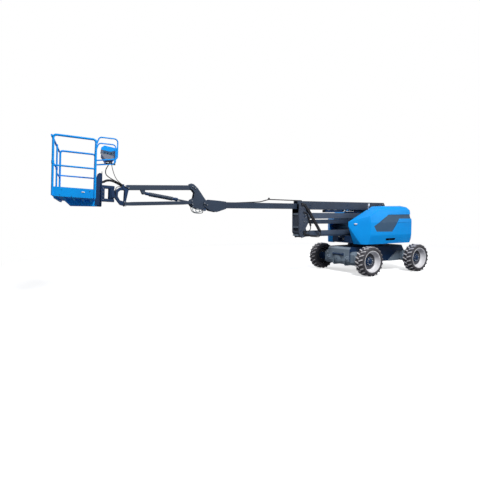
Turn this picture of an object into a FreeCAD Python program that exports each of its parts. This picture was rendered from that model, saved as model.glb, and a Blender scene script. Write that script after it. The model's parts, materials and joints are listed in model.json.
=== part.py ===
import FreeCAD, Part
import math
import os

# Articulating boom lift. Millimetres, +X towards the platform, +Y the left side, +Z up.
# The origin is on the ground, below the middle of the wheelbase.

V = FreeCAD.Vector

# Clearances
FIT = 0.3            # seat between pieces that stay together
RUN = 0.3            # radial play of a pin in its bore
GAP = 6.0            # least gap between pieces that move
LAP = 1.0            # how far welded pieces run into each other

# Wheels
WHEELBASE = 1990.0
TRACK = 2000.0
TYRE_R = 420.0       # over the lugs
CARCASS_R = 397.0
TYRE_W = 300.0
TYRE_FLATS = 32      # flats round the carcass
SHOULDER = 34.0
BEAD_HALF = 125.0    # half the rim's seat width
RIM_R = 290.0
FLANGE_R = 306.0
FLANGE_T = 12.0
RIM_WALL = 12.0
DISC_DEPTH = 20.0    # disc behind the wheel's middle plane
DISC_T = 16.0
HUB_R = 118.0
HUB_OUT = 42.0
HUB_IN = 70.0
SPINDLE_R = 60.0
LUGS_PER_SIDE = 20
LUG_T = 42.0
LUG_SLANT = 62.0     # how far a lug's outer end trails its inner end
LUG_INNER_Y = 8.0
LUG_DEPTH = 48.0     # from the tread down to the shoulder

# Chassis
CHASSIS_Z0 = 300.0
CHASSIS_Z1 = 780.0
OVERHANG_FRONT = 200.0
OVERHANG_REAR = 215.0
CHASSIS_FRONT = WHEELBASE / 2 + OVERHANG_FRONT
CHASSIS_REAR = -WHEELBASE / 2 - OVERHANG_REAR
CHASSIS_T = 12.0
KINGPIN_Y = TRACK / 2 - 260.0
AXLE_HALF_Y = KINGPIN_Y - 140.0
CHASSIS_HALF_W = AXLE_HALF_Y - 150.0
FRONT_HOUSING = {"half_x": 165.0, "z0": 245.0, "z1": 645.0, "chamfer": 80.0, "flange_r": 215.0}
REAR_HOUSING = {"half_x": 120.0, "z0": 300.0, "z1": 600.0, "chamfer": 60.0, "flange_r": 180.0}
END_FLANGE_T = 25.0
KINGPIN_R = 28.0
KNUCKLE_R = 78.0
FORK_R = 70.0
FORK_T = 30.0
FORK_HALF_Z = 122.0
STUB_R = 95.0
GUSSET_RUN = 450.0
GUSSET_T = 60.0
TIE_BORE_R = 20.0
TIE_T = 30.0
TIE_R = 48.0
TIE_Z = 470.0
TIE_INSET = 60.0     # tie-down lug inside the frame's side
TIE_REACH = 55.0     # tie-down bore beyond the frame's end

# Slew ring and turntable
SLEW_X = 200.0
RING_R = 430.0
RING_INNER_R = 320.0
RING_SPLIT_Z = 830.0
DECK_Z0 = 905.0
DECK_Z1 = 930.0
DECK_REAR = -900.0
DECK_FRONT = 1090.0
DECK_TAPER = (640.0, 960.0)
DECK_HALF_W = 780.0
CHANNEL_HALF = 385.0     # half the open channel between the hoods
TOWER_Y0 = 125.0
TOWER_Y1 = 150.0
TRAY_BACK = 940.0
TRAY_INNER_Y = 130.0
TRAY_TOP = 1112.0
WEIGHT_LENGTH = 158.0
WEIGHT_HALF_W = 720.0
WEIGHT_Z0 = 880.0
WEIGHT_Z1 = 1640.0
WEIGHT_TONGUE = 150.0

# Housed under the hoods: x0, x1, y0, y1, top
HOUSED = {"engine_block": (-780.0, -60.0, 430.0, 770.0, 1480.0),
          "hydraulic_tank": (-760.0, 40.0, -760.0, -430.0, 1380.0),
          "ground_controls": (260.0, 560.0, -740.0, -470.0, 1300.0)}
FILLER = {"x": -100.0, "y": -600.0, "r": 35.0, "h": 50.0}

# Hoods
HOOD_WALL = 6.0
HOOD_INNER_Y = 400.0
HOOD_OUTER_Y = 900.0
HOOD_SKIRT_Y = 840.0
HOOD_REAR = -980.0
HOOD_SKIRT_REAR = DECK_REAR - 16.0
HOOD_SKIRT_FRONT = 992.0
HOOD_NOSE_X = 1250.0
HOOD_NOSE_Z = 1510.0
HOOD_CREASE_Z = 1140.0
HOOD_Z0 = 880.0
HOOD_Z1 = 1990.0
HOOD_RECESS = 14.0
GRIP_X = (-200.0, 150.0)
GRIP_Z = 1010.0
GRIP_R = 32.0
HINGE_Y = 385.0
HINGE_Z = 1955.0
HINGE_R = 10.0
HINGE_BARREL_R = 17.0
HINGE_BARREL_HALF = 40.0
HINGE_BARRELS = (-560.0, -180.0, 50.0)
HINGE_POSTS = (-640.0, 120.0)
HINGE_POST_HALF = 20.0

# Riser: two parallelograms that lift the boom straight up
RISER_L = 3150.0
ARM_PIN = (-550.0, 1230.0)
LINK_OFFSET = (70.0, -80.0)
LOWER_ARM_HALF_Y = 80.0
LOWER_ARM_HALF_Z = 60.0
LOWER_BOSS_R = 58.0
LINK_Y0 = 95.0
LINK_Y1 = 110.0
LINK_HALF_Z = 25.0
MID_X = ARM_PIN[0] + RISER_L
MID_Y0 = 130.0
MID_Y1 = 158.0
MID_FRONT = MID_X + 210.0
MID_RUNG_T = 15.0
MID_RUNGS = (180.0, 550.0)   # above the lower arm's pin
UPPER_PIN_X = MID_X - 10.0
UPPER_PIN_Z = ARM_PIN[1] + 485.0
UPPER_LINK_Z = UPPER_PIN_Z - 170.0
UPPER_ARM_HALF_Y = 60.0
UPPER_ARM_HALF_Z = 85.0
UPPER_BOSS_R = 74.0
UPPER_LINK_Y0 = 75.0
UPPER_LINK_Y1 = 95.0
UPPER_LINK_HALF_Z = 62.0
UPPER_LINK_END_HALF_Z = 44.0
TUBE_WALL = 7.0
LINK_TAPER = 120.0
PIN_R = 25.0
STUB_PIN_R = 18.0
RAM_PIN_R = 18.0

# Main boom and its extension
BOOM_PIN = (UPPER_PIN_X - RISER_L + 40.0, UPPER_PIN_Z + 315.0)
BOOM_PIN_R = 32.0
BOOM_REAR = BOOM_PIN[0] - 100.0
BOOM_FRONT = MID_X + 205.0
BOOM_HALF_Y = 95.0
BOOM_Z0 = BOOM_PIN[1] - 135.0
BOOM_Z1 = BOOM_Z0 + 232.0
BOOM_WALL = 7.0
BOOM_CAP_T = 20.0
COLLAR_L = 60.0
COLLAR_T = 8.0
PAD_L = 100.0
PIVOT_Y0 = 105.0
PIVOT_Y1 = 125.0
FLY_REAR = BOOM_FRONT - 1205.0
FLY_LENGTH = 3730.0
FLY_FRONT = FLY_REAR + FLY_LENGTH
FLY_HALF_Y = 68.0
FLY_Z0 = BOOM_Z0 + 13.0
FLY_Z1 = FLY_Z0 + 150.0
FLY_WALL = 7.0
HEAD_Y0 = 80.0
HEAD_Y1 = 95.0
HEAD_PIN = (FLY_FRONT + 220.0, 2000.0)
HEAD_PIN_R = 28.0
HOSE_R = 14.0
HOSE_Y = -126.0

# Hoses clamped on the mid pivot's left plate, with runs given from the lower arm's pin
PIVOT_HOSE_R = 13.0
PIVOT_HOSE_Y = MID_Y1 + 28.0
PIVOT_HOSE_BEND = 104.0
PIVOT_HOSES = [[(135, 818), (12, 816), (-655, -137), (-200, -100), (60, -30)],
               [(135, 782), (34, 782), (-595, -103), (-190, -70), (60, 2)],
               [(60, 580), (-60, 560), (-215, 55), (60, 45)]]
PIVOT_CLAMPS = [(90, 135, 762, 838), (30, 60, 560, 600), (30, 60, -48, 63)]

# Jib and platform carrier
JIB_L = 1540.0
JIB_SLOPE = -1.9         # degrees, as parked
JIB_PIN = (HEAD_PIN[0] + 290.0, HEAD_PIN[1] + 392.0)
JIB_LINK_OFFSET = (60.0, -360.0)
JIB_HALF_Y = 45.0
JIB_HALF_Z = 55.0
JIB_BOSS_R = 50.0
JIB_LINK_Y0 = 80.0
JIB_LINK_Y1 = 104.0
JIB_LINK_HALF_Z = 38.0
BELL_Y0 = 58.0
BELL_Y1 = 74.0
SLOPE = math.radians(JIB_SLOPE)
JIB_END = (JIB_PIN[0] + JIB_L * math.cos(SLOPE), JIB_PIN[1] + JIB_L * math.sin(SLOPE))
ROTOR_X = JIB_END[0] + 330.0
ROTOR_R = 62.0
ROTOR_Z0 = 2088.0
ROTOR_Z1 = 2295.0
ROTOR_PIN_R = 30.0
BRACKET_T = 62.0
BRACKET_BLOCK = 58.0
BRACKET_HALF_Y = 70.0
BRACKET_BACK = ROTOR_X + 189.0
BACK_PLATE_T = 14.0
WEB_Y = 120.0
WEB_T = 12.0

# Platform, level and square to the machine before it is turned on its rotator
PLAT_NOSE_UP = 3.1       # degrees, as parked
PLAT_TURN = -4.3         # degrees in plan, as parked
PLAT_X0 = ROTOR_X + 331.0
PLAT_LENGTH = 723.0
PLAT_X1 = PLAT_X0 + PLAT_LENGTH
PLAT_HALF_Y = 810.0
FLOOR_Z0 = 2021.0
FLOOR_T = 10.0
FLOOR_Z = FLOOR_Z0 + FLOOR_T
TOE_H = 176.0
TOE_HALF_T = 2.0
MID_RAIL_Z = FLOOR_Z0 + 566.0
TOP_RAIL_Z = FLOOR_Z0 + 1119.0
FRONT_MID_Z = MID_RAIL_Z - 45.0
SIDE_R = 21.0            # bent frame of each side
SIDE_BEND = 55.0
POST_R = 17.0
RAIL_R = 19.0
MID_RAIL_R = 16.0
RAIL_DROP = 20.0         # end rails below the side frames' tops
RAIL_OUT = 24.0          # front top rail outside its posts
SLEEVE_WALL = 5.0
SLEEVE_RUN = 0.8         # play of a sliding sleeve on its post
SLEEVE_Z = 80.0          # top of the entry bar's sleeves above the mid rail
HOOP_Y = 300.0
HOOP_R = 14.0
HOOP_BEND = 70.0
HOOP_REACH = 420.0       # from the rear posts back
HOOP_TOP = 1289.0        # above the floor's underside
HOOP_BASE = 879.0
HOOP_BASE_SLOPE = -0.1714
GUARD_R = 9.0
TRAY_R = 12.0
BOX_HALF_Y = 230.0

# Cylinders: pin at the barrel, eye of the rod, barrel length, radii, rod length
RAM_LOWER = {"pin": (-250.0, 1000.0), "eye": (1150.0, 1090.0), "barrel": 1000.0, "rb": 48.0,
             "rr": 26.0, "rod": 885.0}
RAM_LIFT = {"pin": (BOOM_PIN[0] + 220.0, BOOM_PIN[1] - 180.0),
            "eye": (BOOM_PIN[0] + 1520.0, BOOM_PIN[1] - 180.0), "barrel": 880.0, "rb": 37.0,
            "rr": 22.0, "rod": 845.0}
RAM_JIB = {"pin": (1190.0, -120.0), "eye": (HEAD_PIN[0] + 320.0, HEAD_PIN[1] + 40.0), "barrel": 806.0,
           "rb": 36.0, "rr": 19.0, "rod": 797.0}
RAM_WALL = 8.0
COLLAR_W = 5.0
EYE_HALF_Y = 20.0
EYE_WALL = 10.0
EAR_T = 14.0

nodes = {}


# Shape helpers

def block(x0, x1, y0, y1, z0, z1):
    return Part.makeBox(x1 - x0, y1 - y0, z1 - z0, V(x0, y0, z0))


def rod_x(y, z, r, x0, x1):
    return Part.makeCylinder(r, x1 - x0, V(x0, y, z), V(1, 0, 0))


def rod_y(x, z, r, y0, y1):
    return Part.makeCylinder(r, y1 - y0, V(x, y0, z), V(0, 1, 0))


def rod_z(x, y, r, z0, z1):
    return Part.makeCylinder(r, z1 - z0, V(x, y, z0), V(0, 0, 1))


def rod_between(p, q, r):
    return Part.makeCylinder(r, (q - p).Length, p, q - p)


def bore_y(shape, x, z, r, half_y):
    """The shape with a bore across the machine, past both planes at half_y."""
    return shape.cut(rod_y(x, z, r, -half_y - LAP, half_y + LAP))


def polygon(points):
    return Part.Face(Part.makePolygon(points + [points[0]]))


def plate_y(outline, y0, y1):
    """Plate with an (x, z) outline, between two y planes."""
    face = polygon([V(x, y0, z) for x, z in outline])
    return face.extrude(V(0, y1 - y0, 0))


def plate_x(outline, x0, x1):
    """Plate with a (y, z) outline, between two x planes."""
    face = polygon([V(x0, y, z) for y, z in outline])
    return face.extrude(V(x1 - x0, 0, 0))


def plate_z(outline, z0, z1):
    """Plate with an (x, y) outline, between two z planes."""
    face = polygon([V(x, y, z0) for x, y in outline])
    return face.extrude(V(0, 0, z1 - z0))


def at(origin, offsets):
    """Outline given by offsets from a point."""
    return [(origin[0] + a, origin[1] + b) for a, b in offsets]


def rounded(plate, r):
    """Plate across the machine with the corners of its outline rounded."""
    corners = [e for e in plate.Edges if abs(e.tangentAt(e.FirstParameter).y) > 0.99]
    return plate.makeFillet(r, corners)


def fuse(shapes):
    return shapes[0].multiFuse(shapes[1:]).removeSplitter() if len(shapes) > 1 else shapes[0]


def mirror_y(shape):
    return shape.mirror(V(0, 0, 0), V(0, 1, 0))


def both(shape):
    """The shape and its mirror image across the middle plane."""
    return [shape, mirror_y(shape)]


def box_tube_x(x0, x1, half_y, z0, z1, wall):
    outer = block(x0, x1, -half_y, half_y, z0, z1)
    inner = block(x0 - LAP, x1 + LAP, -half_y + wall, half_y - wall, z0 + wall, z1 - wall)
    return outer.cut(inner)


def bent_tube(points, bend_r, tube_r):
    """Round tube along straight runs joined by arcs of one radius."""
    edges = []
    start = points[0]
    for before, corner, after in zip(points, points[1:], points[2:]):
        a = (before - corner).normalize()
        b = (after - corner).normalize()
        half = a.getAngle(b) / 2
        reach = bend_r / math.tan(half)
        t0 = corner + a * reach
        t1 = corner + b * reach
        centre = corner + (a + b).normalize() * (bend_r / math.sin(half))
        middle = centre + (corner - centre).normalize() * bend_r
        edges.append(Part.LineSegment(start, t0).toShape())
        edges.append(Part.Arc(t0, middle, t1).toShape())
        start = t1
    edges.append(Part.LineSegment(start, points[-1]).toShape())
    path = Part.Wire(edges)
    ring = Part.Wire(Part.makeCircle(tube_r, points[0], points[1] - points[0]))
    return path.makePipeShell([ring], True, False)


# Wheels

def flat_ring(section, flats):
    """Ring about the Y axis made of flats; the closed section is given as (y, r)."""
    turn = 2 * math.pi / flats
    faces = []
    for k in range(flats):
        for p, q in zip(section, section[1:] + section[:1]):
            corners = [(p, k * turn), (q, k * turn), (q, (k + 1) * turn), (p, (k + 1) * turn)]
            faces.append(polygon([V(r * math.sin(a), y, r * math.cos(a)) for (y, r), a in corners]))
    return Part.makeSolid(Part.makeShell(faces))


def tyre_shape():
    """Tyre about the Y axis with slanted lugs, in two staggered rows."""
    half = TYRE_W / 2
    bore = (RIM_R + FIT) / math.cos(math.pi / TYRE_FLATS)
    wall_r = FLANGE_R + SHOULDER
    section = [(-BEAD_HALF, bore), (-BEAD_HALF, FLANGE_R + GAP), (-half, wall_r),
               (-half, CARCASS_R - SHOULDER), (-half + SHOULDER, CARCASS_R), (half - SHOULDER, CARCASS_R),
               (half, CARCASS_R - SHOULDER), (half, wall_r), (BEAD_HALF, FLANGE_R + GAP), (BEAD_HALF, bore)]
    carcass = flat_ring(section, TYRE_FLATS)
    reach = (LUG_SLANT + LUG_T) / 2
    tip_r = math.sqrt(TYRE_R ** 2 - reach ** 2)
    step = 360.0 / LUGS_PER_SIDE
    lugs = []
    for side, stagger in ((1, 0.5), (-1, 0.0)):
        outline = [(reach - LUG_T, side * LUG_INNER_Y), (reach, side * LUG_INNER_Y),
                   (LUG_T - reach, side * half), (-reach, side * half)]
        lug = plate_z(outline, TYRE_R - LUG_DEPTH, tip_r)
        for k in range(LUGS_PER_SIDE):
            turned = lug.copy()
            turned.rotate(V(0, 0, 0), V(0, 1, 0), step * (k + stagger))
            lugs.append(turned)
    return carcass.multiFuse(lugs)


def rim_shape():
    """Deep-dished rim about the Y axis, its open side towards +Y."""
    edge = BEAD_HALF + FIT
    inner = RIM_R - RIM_WALL
    face_y = DISC_T - DISC_DEPTH
    section = [(-edge - FLANGE_T, FLANGE_R), (-edge, FLANGE_R), (-edge, RIM_R), (edge, RIM_R),
               (edge, FLANGE_R), (edge + FLANGE_T, FLANGE_R), (edge + FLANGE_T, inner + 6),
               (30, inner - 14), (face_y, inner - 50), (face_y, HUB_R), (HUB_OUT, HUB_R - 8),
               (HUB_OUT, 0), (20, 0), (20, SPINDLE_R + RUN), (-HUB_IN, SPINDLE_R + RUN),
               (-HUB_IN, HUB_R), (-DISC_DEPTH, HUB_R), (-DISC_DEPTH, inner - 42), (10, inner - 19),
               (-edge - FLANGE_T, inner)]
    face = polygon([V(0, y, r) for y, r in section])
    return face.revolve(V(0, 0, 0), V(0, 1, 0), 360)


def place_wheel(shape, x, side):
    placed = shape.copy()
    if side < 0:
        placed = mirror_y(placed)
    placed.translate(V(x, side * TRACK / 2, TYRE_R))
    return placed


CORNERS = [("front_left", 1, 1), ("front_right", 1, -1), ("rear_left", -1, 1), ("rear_right", -1, -1)]


def build_wheels():
    tyre = tyre_shape()
    rim = rim_shape()
    for name, end, side in CORNERS:
        nodes["tyre_" + name] = place_wheel(tyre, end * WHEELBASE / 2, side)
        nodes["rim_" + name] = place_wheel(rim, end * WHEELBASE / 2, side)


# Chassis

def octagon(x, half_x, z0, z1, c):
    """Chamfered rectangle (x, z) outline."""
    return [(x - half_x + c, z0), (x + half_x - c, z0), (x + half_x, z0 + c), (x + half_x, z1 - c),
            (x + half_x - c, z1), (x - half_x + c, z1), (x - half_x, z1 - c), (x - half_x, z0 + c)]


def axle_housing(x, size):
    """Chamfered cross housing between the wheels of one axle."""
    t = CHASSIS_T
    outer = octagon(x, size["half_x"], size["z0"], size["z1"], size["chamfer"])
    core = octagon(x, size["half_x"] - t, size["z0"] + t, size["z1"] - t, size["chamfer"] - 0.4 * t)
    housing = plate_y(outer, -AXLE_HALF_Y, AXLE_HALF_Y)
    return housing.cut(plate_y(core, -AXLE_HALF_Y - LAP, AXLE_HALF_Y + LAP))


def end_flange(x, size):
    """Rounded flange that closes an axle housing."""
    mid = (size["z0"] + size["z1"]) / 2
    disc = rod_y(x, mid, size["flange_r"], AXLE_HALF_Y, AXLE_HALF_Y + END_FLANGE_T)
    reach = size["half_x"] + 15
    trim = block(x - reach, x + reach, AXLE_HALF_Y - LAP, AXLE_HALF_Y + END_FLANGE_T + LAP,
                 size["z0"] - 15, size["z1"] + 10)
    return disc.common(trim)


def tie_down_lug(x, side):
    """Lashing lug at a corner of the chassis, with a bore across the machine."""
    y0 = side * (CHASSIS_HALF_W - TIE_INSET) - TIE_T / 2
    end = 1 if x > 0 else -1
    root = x - end * (TIE_REACH + CHASSIS_T)
    plate = block(min(root, x), max(root, x), y0, y0 + TIE_T, TIE_Z - TIE_R, TIE_Z + TIE_R)
    eye = rod_y(x, TIE_Z, TIE_R, y0, y0 + TIE_T)
    bore = rod_y(x, TIE_Z, TIE_BORE_R, y0 - LAP, y0 + TIE_T + LAP)
    return plate.fuse(eye).cut(bore)


def frame_outline(t):
    """Side view (x, z) of the box frame, moved in by a plate's thickness."""
    x0, x1, z0, z1 = CHASSIS_REAR + t, CHASSIS_FRONT - t, CHASSIS_Z0 + t, CHASSIS_Z1 - t
    return [(x0 + 150, z1), (x1 - 60, z1), (x1, z1 - 60), (x1, z0 + 60), (x1 - 60, z0),
            (x0 + 80, z0), (x0, z0 + 90), (x0, z1 - 220)]


def box_frame():
    """Hollow frame with slots for the axle housings and an open middle underneath."""
    t = CHASSIS_T
    frame = plate_y(frame_outline(0), -CHASSIS_HALF_W, CHASSIS_HALF_W)
    frame = frame.cut(plate_y(frame_outline(t), -CHASSIS_HALF_W + t, CHASSIS_HALF_W - t))
    front_x = WHEELBASE / 2
    for x, size in ((-front_x, REAR_HOUSING), (front_x, FRONT_HOUSING)):
        reach = size["half_x"] + FIT
        frame = frame.cut(block(x - reach, x + reach, -AXLE_HALF_Y, AXLE_HALF_Y,
                                size["z0"] - LAP, size["z1"] + FIT))
    hole_x = front_x - FRONT_HOUSING["half_x"] - 150
    hole_y = CHASSIS_HALF_W - 190
    return frame.cut(block(-hole_x, hole_x, -hole_y, hole_y, CHASSIS_Z0 - LAP, CHASSIS_Z0 + t + LAP))


def rear_gusset():
    """Bracket from the frame's side to the front of the rear axle."""
    root = -WHEELBASE / 2 + REAR_HOUSING["half_x"] + GAP
    top = REAR_HOUSING["z1"]
    outline = [(root + GUSSET_RUN, CHASSIS_Z0), (root, CHASSIS_Z0), (root, top), (root + 70, top)]
    return plate_y(outline, CHASSIS_HALF_W - LAP, CHASSIS_HALF_W + GUSSET_T)


def build_chassis():
    ring = rod_z(SLEW_X, 0, RING_R + 20, CHASSIS_Z1 - CHASSIS_T, RING_SPLIT_Z)
    hole = rod_z(SLEW_X, 0, RING_INNER_R, CHASSIS_Z1 - CHASSIS_T - LAP, RING_SPLIT_Z + LAP)
    ties = [tie_down_lug(x, side) for x in (CHASSIS_FRONT + TIE_REACH, CHASSIS_REAR - TIE_REACH)
            for side in (1, -1)]
    nodes["chassis_frame"] = fuse([box_frame(), ring] + ties + both(rear_gusset())).cut(hole)

    front_x = WHEELBASE / 2
    inner = AXLE_HALF_Y + END_FLANGE_T
    hub_face = TRACK / 2 - HUB_IN - GAP
    stub = rod_y(-front_x, TYRE_R, STUB_R + 20, inner - LAP, hub_face)
    spindle = rod_y(-front_x, TYRE_R, SPINDLE_R, hub_face - LAP, TRACK / 2)
    axle = axle_housing(-front_x, REAR_HOUSING)
    flange = end_flange(-front_x, REAR_HOUSING)
    nodes["rear_axle"] = fuse([axle] + both(flange) + both(stub) + both(spindle))

    fork = []
    for z in (TYRE_R + FORK_HALF_Z, TYRE_R - FORK_HALF_Z - FORK_T):
        fork.append(block(front_x - FORK_R, front_x + FORK_R, inner - LAP, KINGPIN_Y, z, z + FORK_T))
        fork.append(rod_z(front_x, KINGPIN_Y, FORK_R, z, z + FORK_T))
    fork_top = FORK_HALF_Z + FORK_T
    fork.append(rod_z(front_x, KINGPIN_Y, KINGPIN_R, TYRE_R - fork_top, TYRE_R + fork_top))
    axle = axle_housing(front_x, FRONT_HOUSING)
    flange = end_flange(front_x, FRONT_HOUSING)
    nodes["front_axle"] = fuse([axle] + both(flange) + both(fuse(fork)))

    half_z = FORK_HALF_Z - GAP / 2
    body = rod_z(front_x, KINGPIN_Y, KNUCKLE_R, TYRE_R - half_z, TYRE_R + half_z)
    stub = rod_y(front_x, TYRE_R, STUB_R, KINGPIN_Y, hub_face)
    spindle = rod_y(front_x, TYRE_R, SPINDLE_R, hub_face - LAP, TRACK / 2)
    bore = rod_z(front_x, KINGPIN_Y, KINGPIN_R + RUN, TYRE_R - fork_top, TYRE_R + fork_top)
    knuckle = fuse([body, stub, spindle]).cut(bore)
    nodes["knuckle_left"] = knuckle
    nodes["knuckle_right"] = mirror_y(knuckle)


# Turntable

def build_turntable():
    x_wide, x_narrow = DECK_TAPER
    outline = [(DECK_REAR, -DECK_HALF_W), (x_wide, -DECK_HALF_W), (x_narrow, -CHANNEL_HALF),
               (DECK_FRONT, -CHANNEL_HALF), (DECK_FRONT, CHANNEL_HALF), (x_narrow, CHANNEL_HALF),
               (x_wide, DECK_HALF_W), (DECK_REAR, DECK_HALF_W)]
    deck = plate_z(outline, DECK_Z0, DECK_Z1)
    ring = rod_z(SLEW_X, 0, RING_R, RING_SPLIT_Z + FIT, DECK_Z0)
    ring = ring.cut(rod_z(SLEW_X, 0, RING_INNER_R, RING_SPLIT_Z, DECK_Z0))
    hole = rod_z(SLEW_X, 0, RING_INNER_R - 170, DECK_Z0 - LAP, DECK_Z1 + LAP)
    ax, az = ARM_PIN
    lx, lz = ax + LINK_OFFSET[0], az + LINK_OFFSET[1]
    foot = DECK_Z1 - LAP
    tower = [(ax - 170, foot), (ax + 450, foot), (ax + 170, az + 100), (ax - 70, az + 100), (ax - 170, az)]
    parts = [deck.cut(hole), ring]
    parts += both(plate_y(tower, TOWER_Y0, TOWER_Y1))
    parts.append(rod_y(ax, az, PIN_R, -TOWER_Y1 - 12, TOWER_Y1 + 12))
    parts += both(rod_y(lx, lz, STUB_PIN_R, LINK_Y0 - 7, TOWER_Y1 + 8))
    px, pz = RAM_LOWER["pin"]
    ear = [(px - 70, foot), (px + 70, foot), (px + 30, pz + 34), (px - 30, pz + 34)]
    ear_y = RAM_LOWER["rb"] + GAP
    parts += both(plate_y(ear, ear_y, ear_y + EAR_T))
    parts.append(rod_y(px, pz, RAM_PIN_R, -ear_y - EAR_T - 8, ear_y + EAR_T + 8))
    for x in HINGE_POSTS:
        x0, x1 = x - HINGE_POST_HALF, x + HINGE_POST_HALF
        parts += both(block(x0, x1, HINGE_Y - 30, HINGE_Y - 2, foot, HINGE_Z + 14))
        parts += both(block(x0, x1, HINGE_Y - 6, HINGE_Y, HINGE_Z - 8, HINGE_Z + 8))
    parts += both(rod_x(HINGE_Y, HINGE_Z, HINGE_R, HINGE_POSTS[0] - 60, HINGE_POSTS[1] + 60))
    nodes["turntable_deck"] = fuse(parts)

    tray = block(TRAY_BACK, DECK_FRONT, TRAY_INNER_Y, CHANNEL_HALF, DECK_Z1 + FIT, TRAY_TOP)
    nodes["front_tray"] = Part.makeCompound(both(tray))

    x1 = HOOD_REAR - 12
    x0 = x1 - WEIGHT_LENGTH
    tongue = x1 + WEIGHT_TONGUE
    w = WEIGHT_HALF_W
    c = CHANNEL_HALF - GAP
    plan = [(x0, -w + 150), (x0 + 60, -w + 40), (x1 - 20, -w), (x1, -w), (x1, -c), (tongue, -c),
            (tongue, c), (x1, c), (x1, w), (x1 - 20, w), (x0 + 60, w - 40), (x0, w - 150)]
    weight = plate_z(plan, WEIGHT_Z0, WEIGHT_Z1)
    seat = block(DECK_REAR - FIT, tongue + LAP, -w, w, WEIGHT_Z0 - LAP, DECK_Z1 + FIT)
    nodes["counterweight"] = weight.cut(seat)

    for name, (x0, x1, y0, y1, top) in HOUSED.items():
        nodes[name] = block(x0, x1, y0, y1, DECK_Z1 + FIT, top)
    tank_top = HOUSED["hydraulic_tank"][4]
    filler = rod_z(FILLER["x"], FILLER["y"], FILLER["r"], tank_top - LAP, tank_top + FILLER["h"])
    nodes["hydraulic_tank"] = nodes["hydraulic_tank"].fuse(filler)


# Hoods

def hood_body(inset, drop=0.0):
    """Left hood as the common part of its side, plan and cross outlines, all moved in alike.

    The drop carries it past its open edges, at the bottom and towards the middle."""
    low = HOOD_Z0 - drop
    inner = HOOD_INNER_Y - drop
    side = [(HOOD_SKIRT_REAR, low), (HOOD_SKIRT_FRONT, low), (HOOD_SKIRT_FRONT, HOOD_Z0),
            (HOOD_NOSE_X, HOOD_NOSE_Z), (250, HOOD_Z1), (-640, HOOD_Z1 + 18), (-800, HOOD_Z1 - 28),
            (-888, HOOD_Z1 - 120), (-900, 1690), (HOOD_REAR + 26, HOOD_NOSE_Z), (HOOD_REAR, HOOD_CREASE_Z),
            (HOOD_SKIRT_REAR, HOOD_Z0)]
    plan = [(HOOD_REAR, inner), (HOOD_REAR, HOOD_OUTER_Y - 100), (HOOD_REAR + 60, HOOD_OUTER_Y),
            (830, HOOD_OUTER_Y), (HOOD_NOSE_X, HOOD_INNER_Y), (HOOD_NOSE_X, inner - 1)]
    cross = [(inner, low), (HOOD_SKIRT_Y, low), (HOOD_SKIRT_Y, HOOD_Z0), (HOOD_OUTER_Y, HOOD_CREASE_Z),
             (HOOD_OUTER_Y, HOOD_NOSE_Z), (HOOD_OUTER_Y - 50, HOOD_Z1 - 110),
             (HOOD_OUTER_Y - 100, HOOD_Z1 - 20), (HOOD_OUTER_Y - 200, HOOD_Z1 + 20), (inner, HOOD_Z1 + 20)]
    y0, y1 = inner - 1, HOOD_OUTER_Y + 1
    x0, x1 = HOOD_REAR - 1, HOOD_NOSE_X + 1
    z0, z1 = low - 1, HOOD_Z1 + 20
    a = inset_face([V(x, y0, z) for x, z in side], inset).extrude(V(0, y1 - y0, 0))
    b = inset_face([V(x, y, z0) for x, y in plan], inset).extrude(V(0, 0, z1 - z0))
    c = inset_face([V(x0, y, z) for y, z in cross], inset).extrude(V(x1 - x0, 0, 0))
    return a.common(b).common(c)


def inset_face(points, inset):
    """Flat outline moved in by a distance, with sharp corners."""
    sharp = 2
    face = polygon(points)
    return face.makeOffset2D(-inset, sharp) if inset else face


def panel_zone(grow=0.0):
    """Room of the dark side panel, as far as the hood's outer face reaches."""
    outline = [(700, 1400), (80, 1735), (-1100, 1750), (-1100, 1620), (-390, 1620), (-80, 1235), (590, 1245)]
    face = polygon([V(x, HOOD_OUTER_Y - 120, z) for x, z in outline])
    if grow:
        face = face.makeOffset2D(grow)
    return face.extrude(V(0, 220, 0))


def build_hoods():
    drop = 60.0
    outer = hood_body(0.0)
    recess = hood_body(HOOD_RECESS, drop)
    recess_back = hood_body(HOOD_RECESS + HOOD_WALL, drop)
    zone = panel_zone()
    shell = outer.cut(hood_body(HOOD_WALL, drop)).cut(zone)
    frame = outer.cut(recess_back).common(panel_zone(HOOD_WALL)).cut(zone)
    hinges = []
    for x in HINGE_BARRELS:
        x0, x1 = x - HINGE_BARREL_HALF, x + HINGE_BARREL_HALF
        barrel = rod_x(HINGE_Y, HINGE_Z, HINGE_BARREL_R, x0, x1)
        tab = block(x0, x1, HINGE_Y, HOOD_INNER_Y + 30, HINGE_Z + 4, HINGE_Z + 14)
        web = block(x0, x1, HOOD_INNER_Y + 18, HOOD_INNER_Y + 30, HINGE_Z + 4, HOOD_Z1 + 40)
        hinges.append(fuse([barrel, tab, web.common(outer)]))
    grip = plate_y([(GRIP_X[0], GRIP_Z - GRIP_R), (GRIP_X[1], GRIP_Z - GRIP_R), (GRIP_X[1], GRIP_Z + GRIP_R),
                    (GRIP_X[0], GRIP_Z + GRIP_R)], HOOD_SKIRT_Y - 40, HOOD_OUTER_Y)
    ends = [rod_y(x, GRIP_Z, GRIP_R, HOOD_SKIRT_Y - 40, HOOD_OUTER_Y) for x in GRIP_X]
    bore = rod_x(HINGE_Y, HINGE_Z, HINGE_R + RUN, HOOD_REAR, HOOD_NOSE_X)
    hood = fuse([shell, frame] + hinges).cut(bore).cut(fuse([grip] + ends))
    panel = recess.cut(recess_back).common(zone)
    nodes["hood_left"] = hood
    nodes["hood_right"] = mirror_y(hood)
    nodes["hood_panel_left"] = panel
    nodes["hood_panel_right"] = mirror_y(panel)


# Riser

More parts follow.
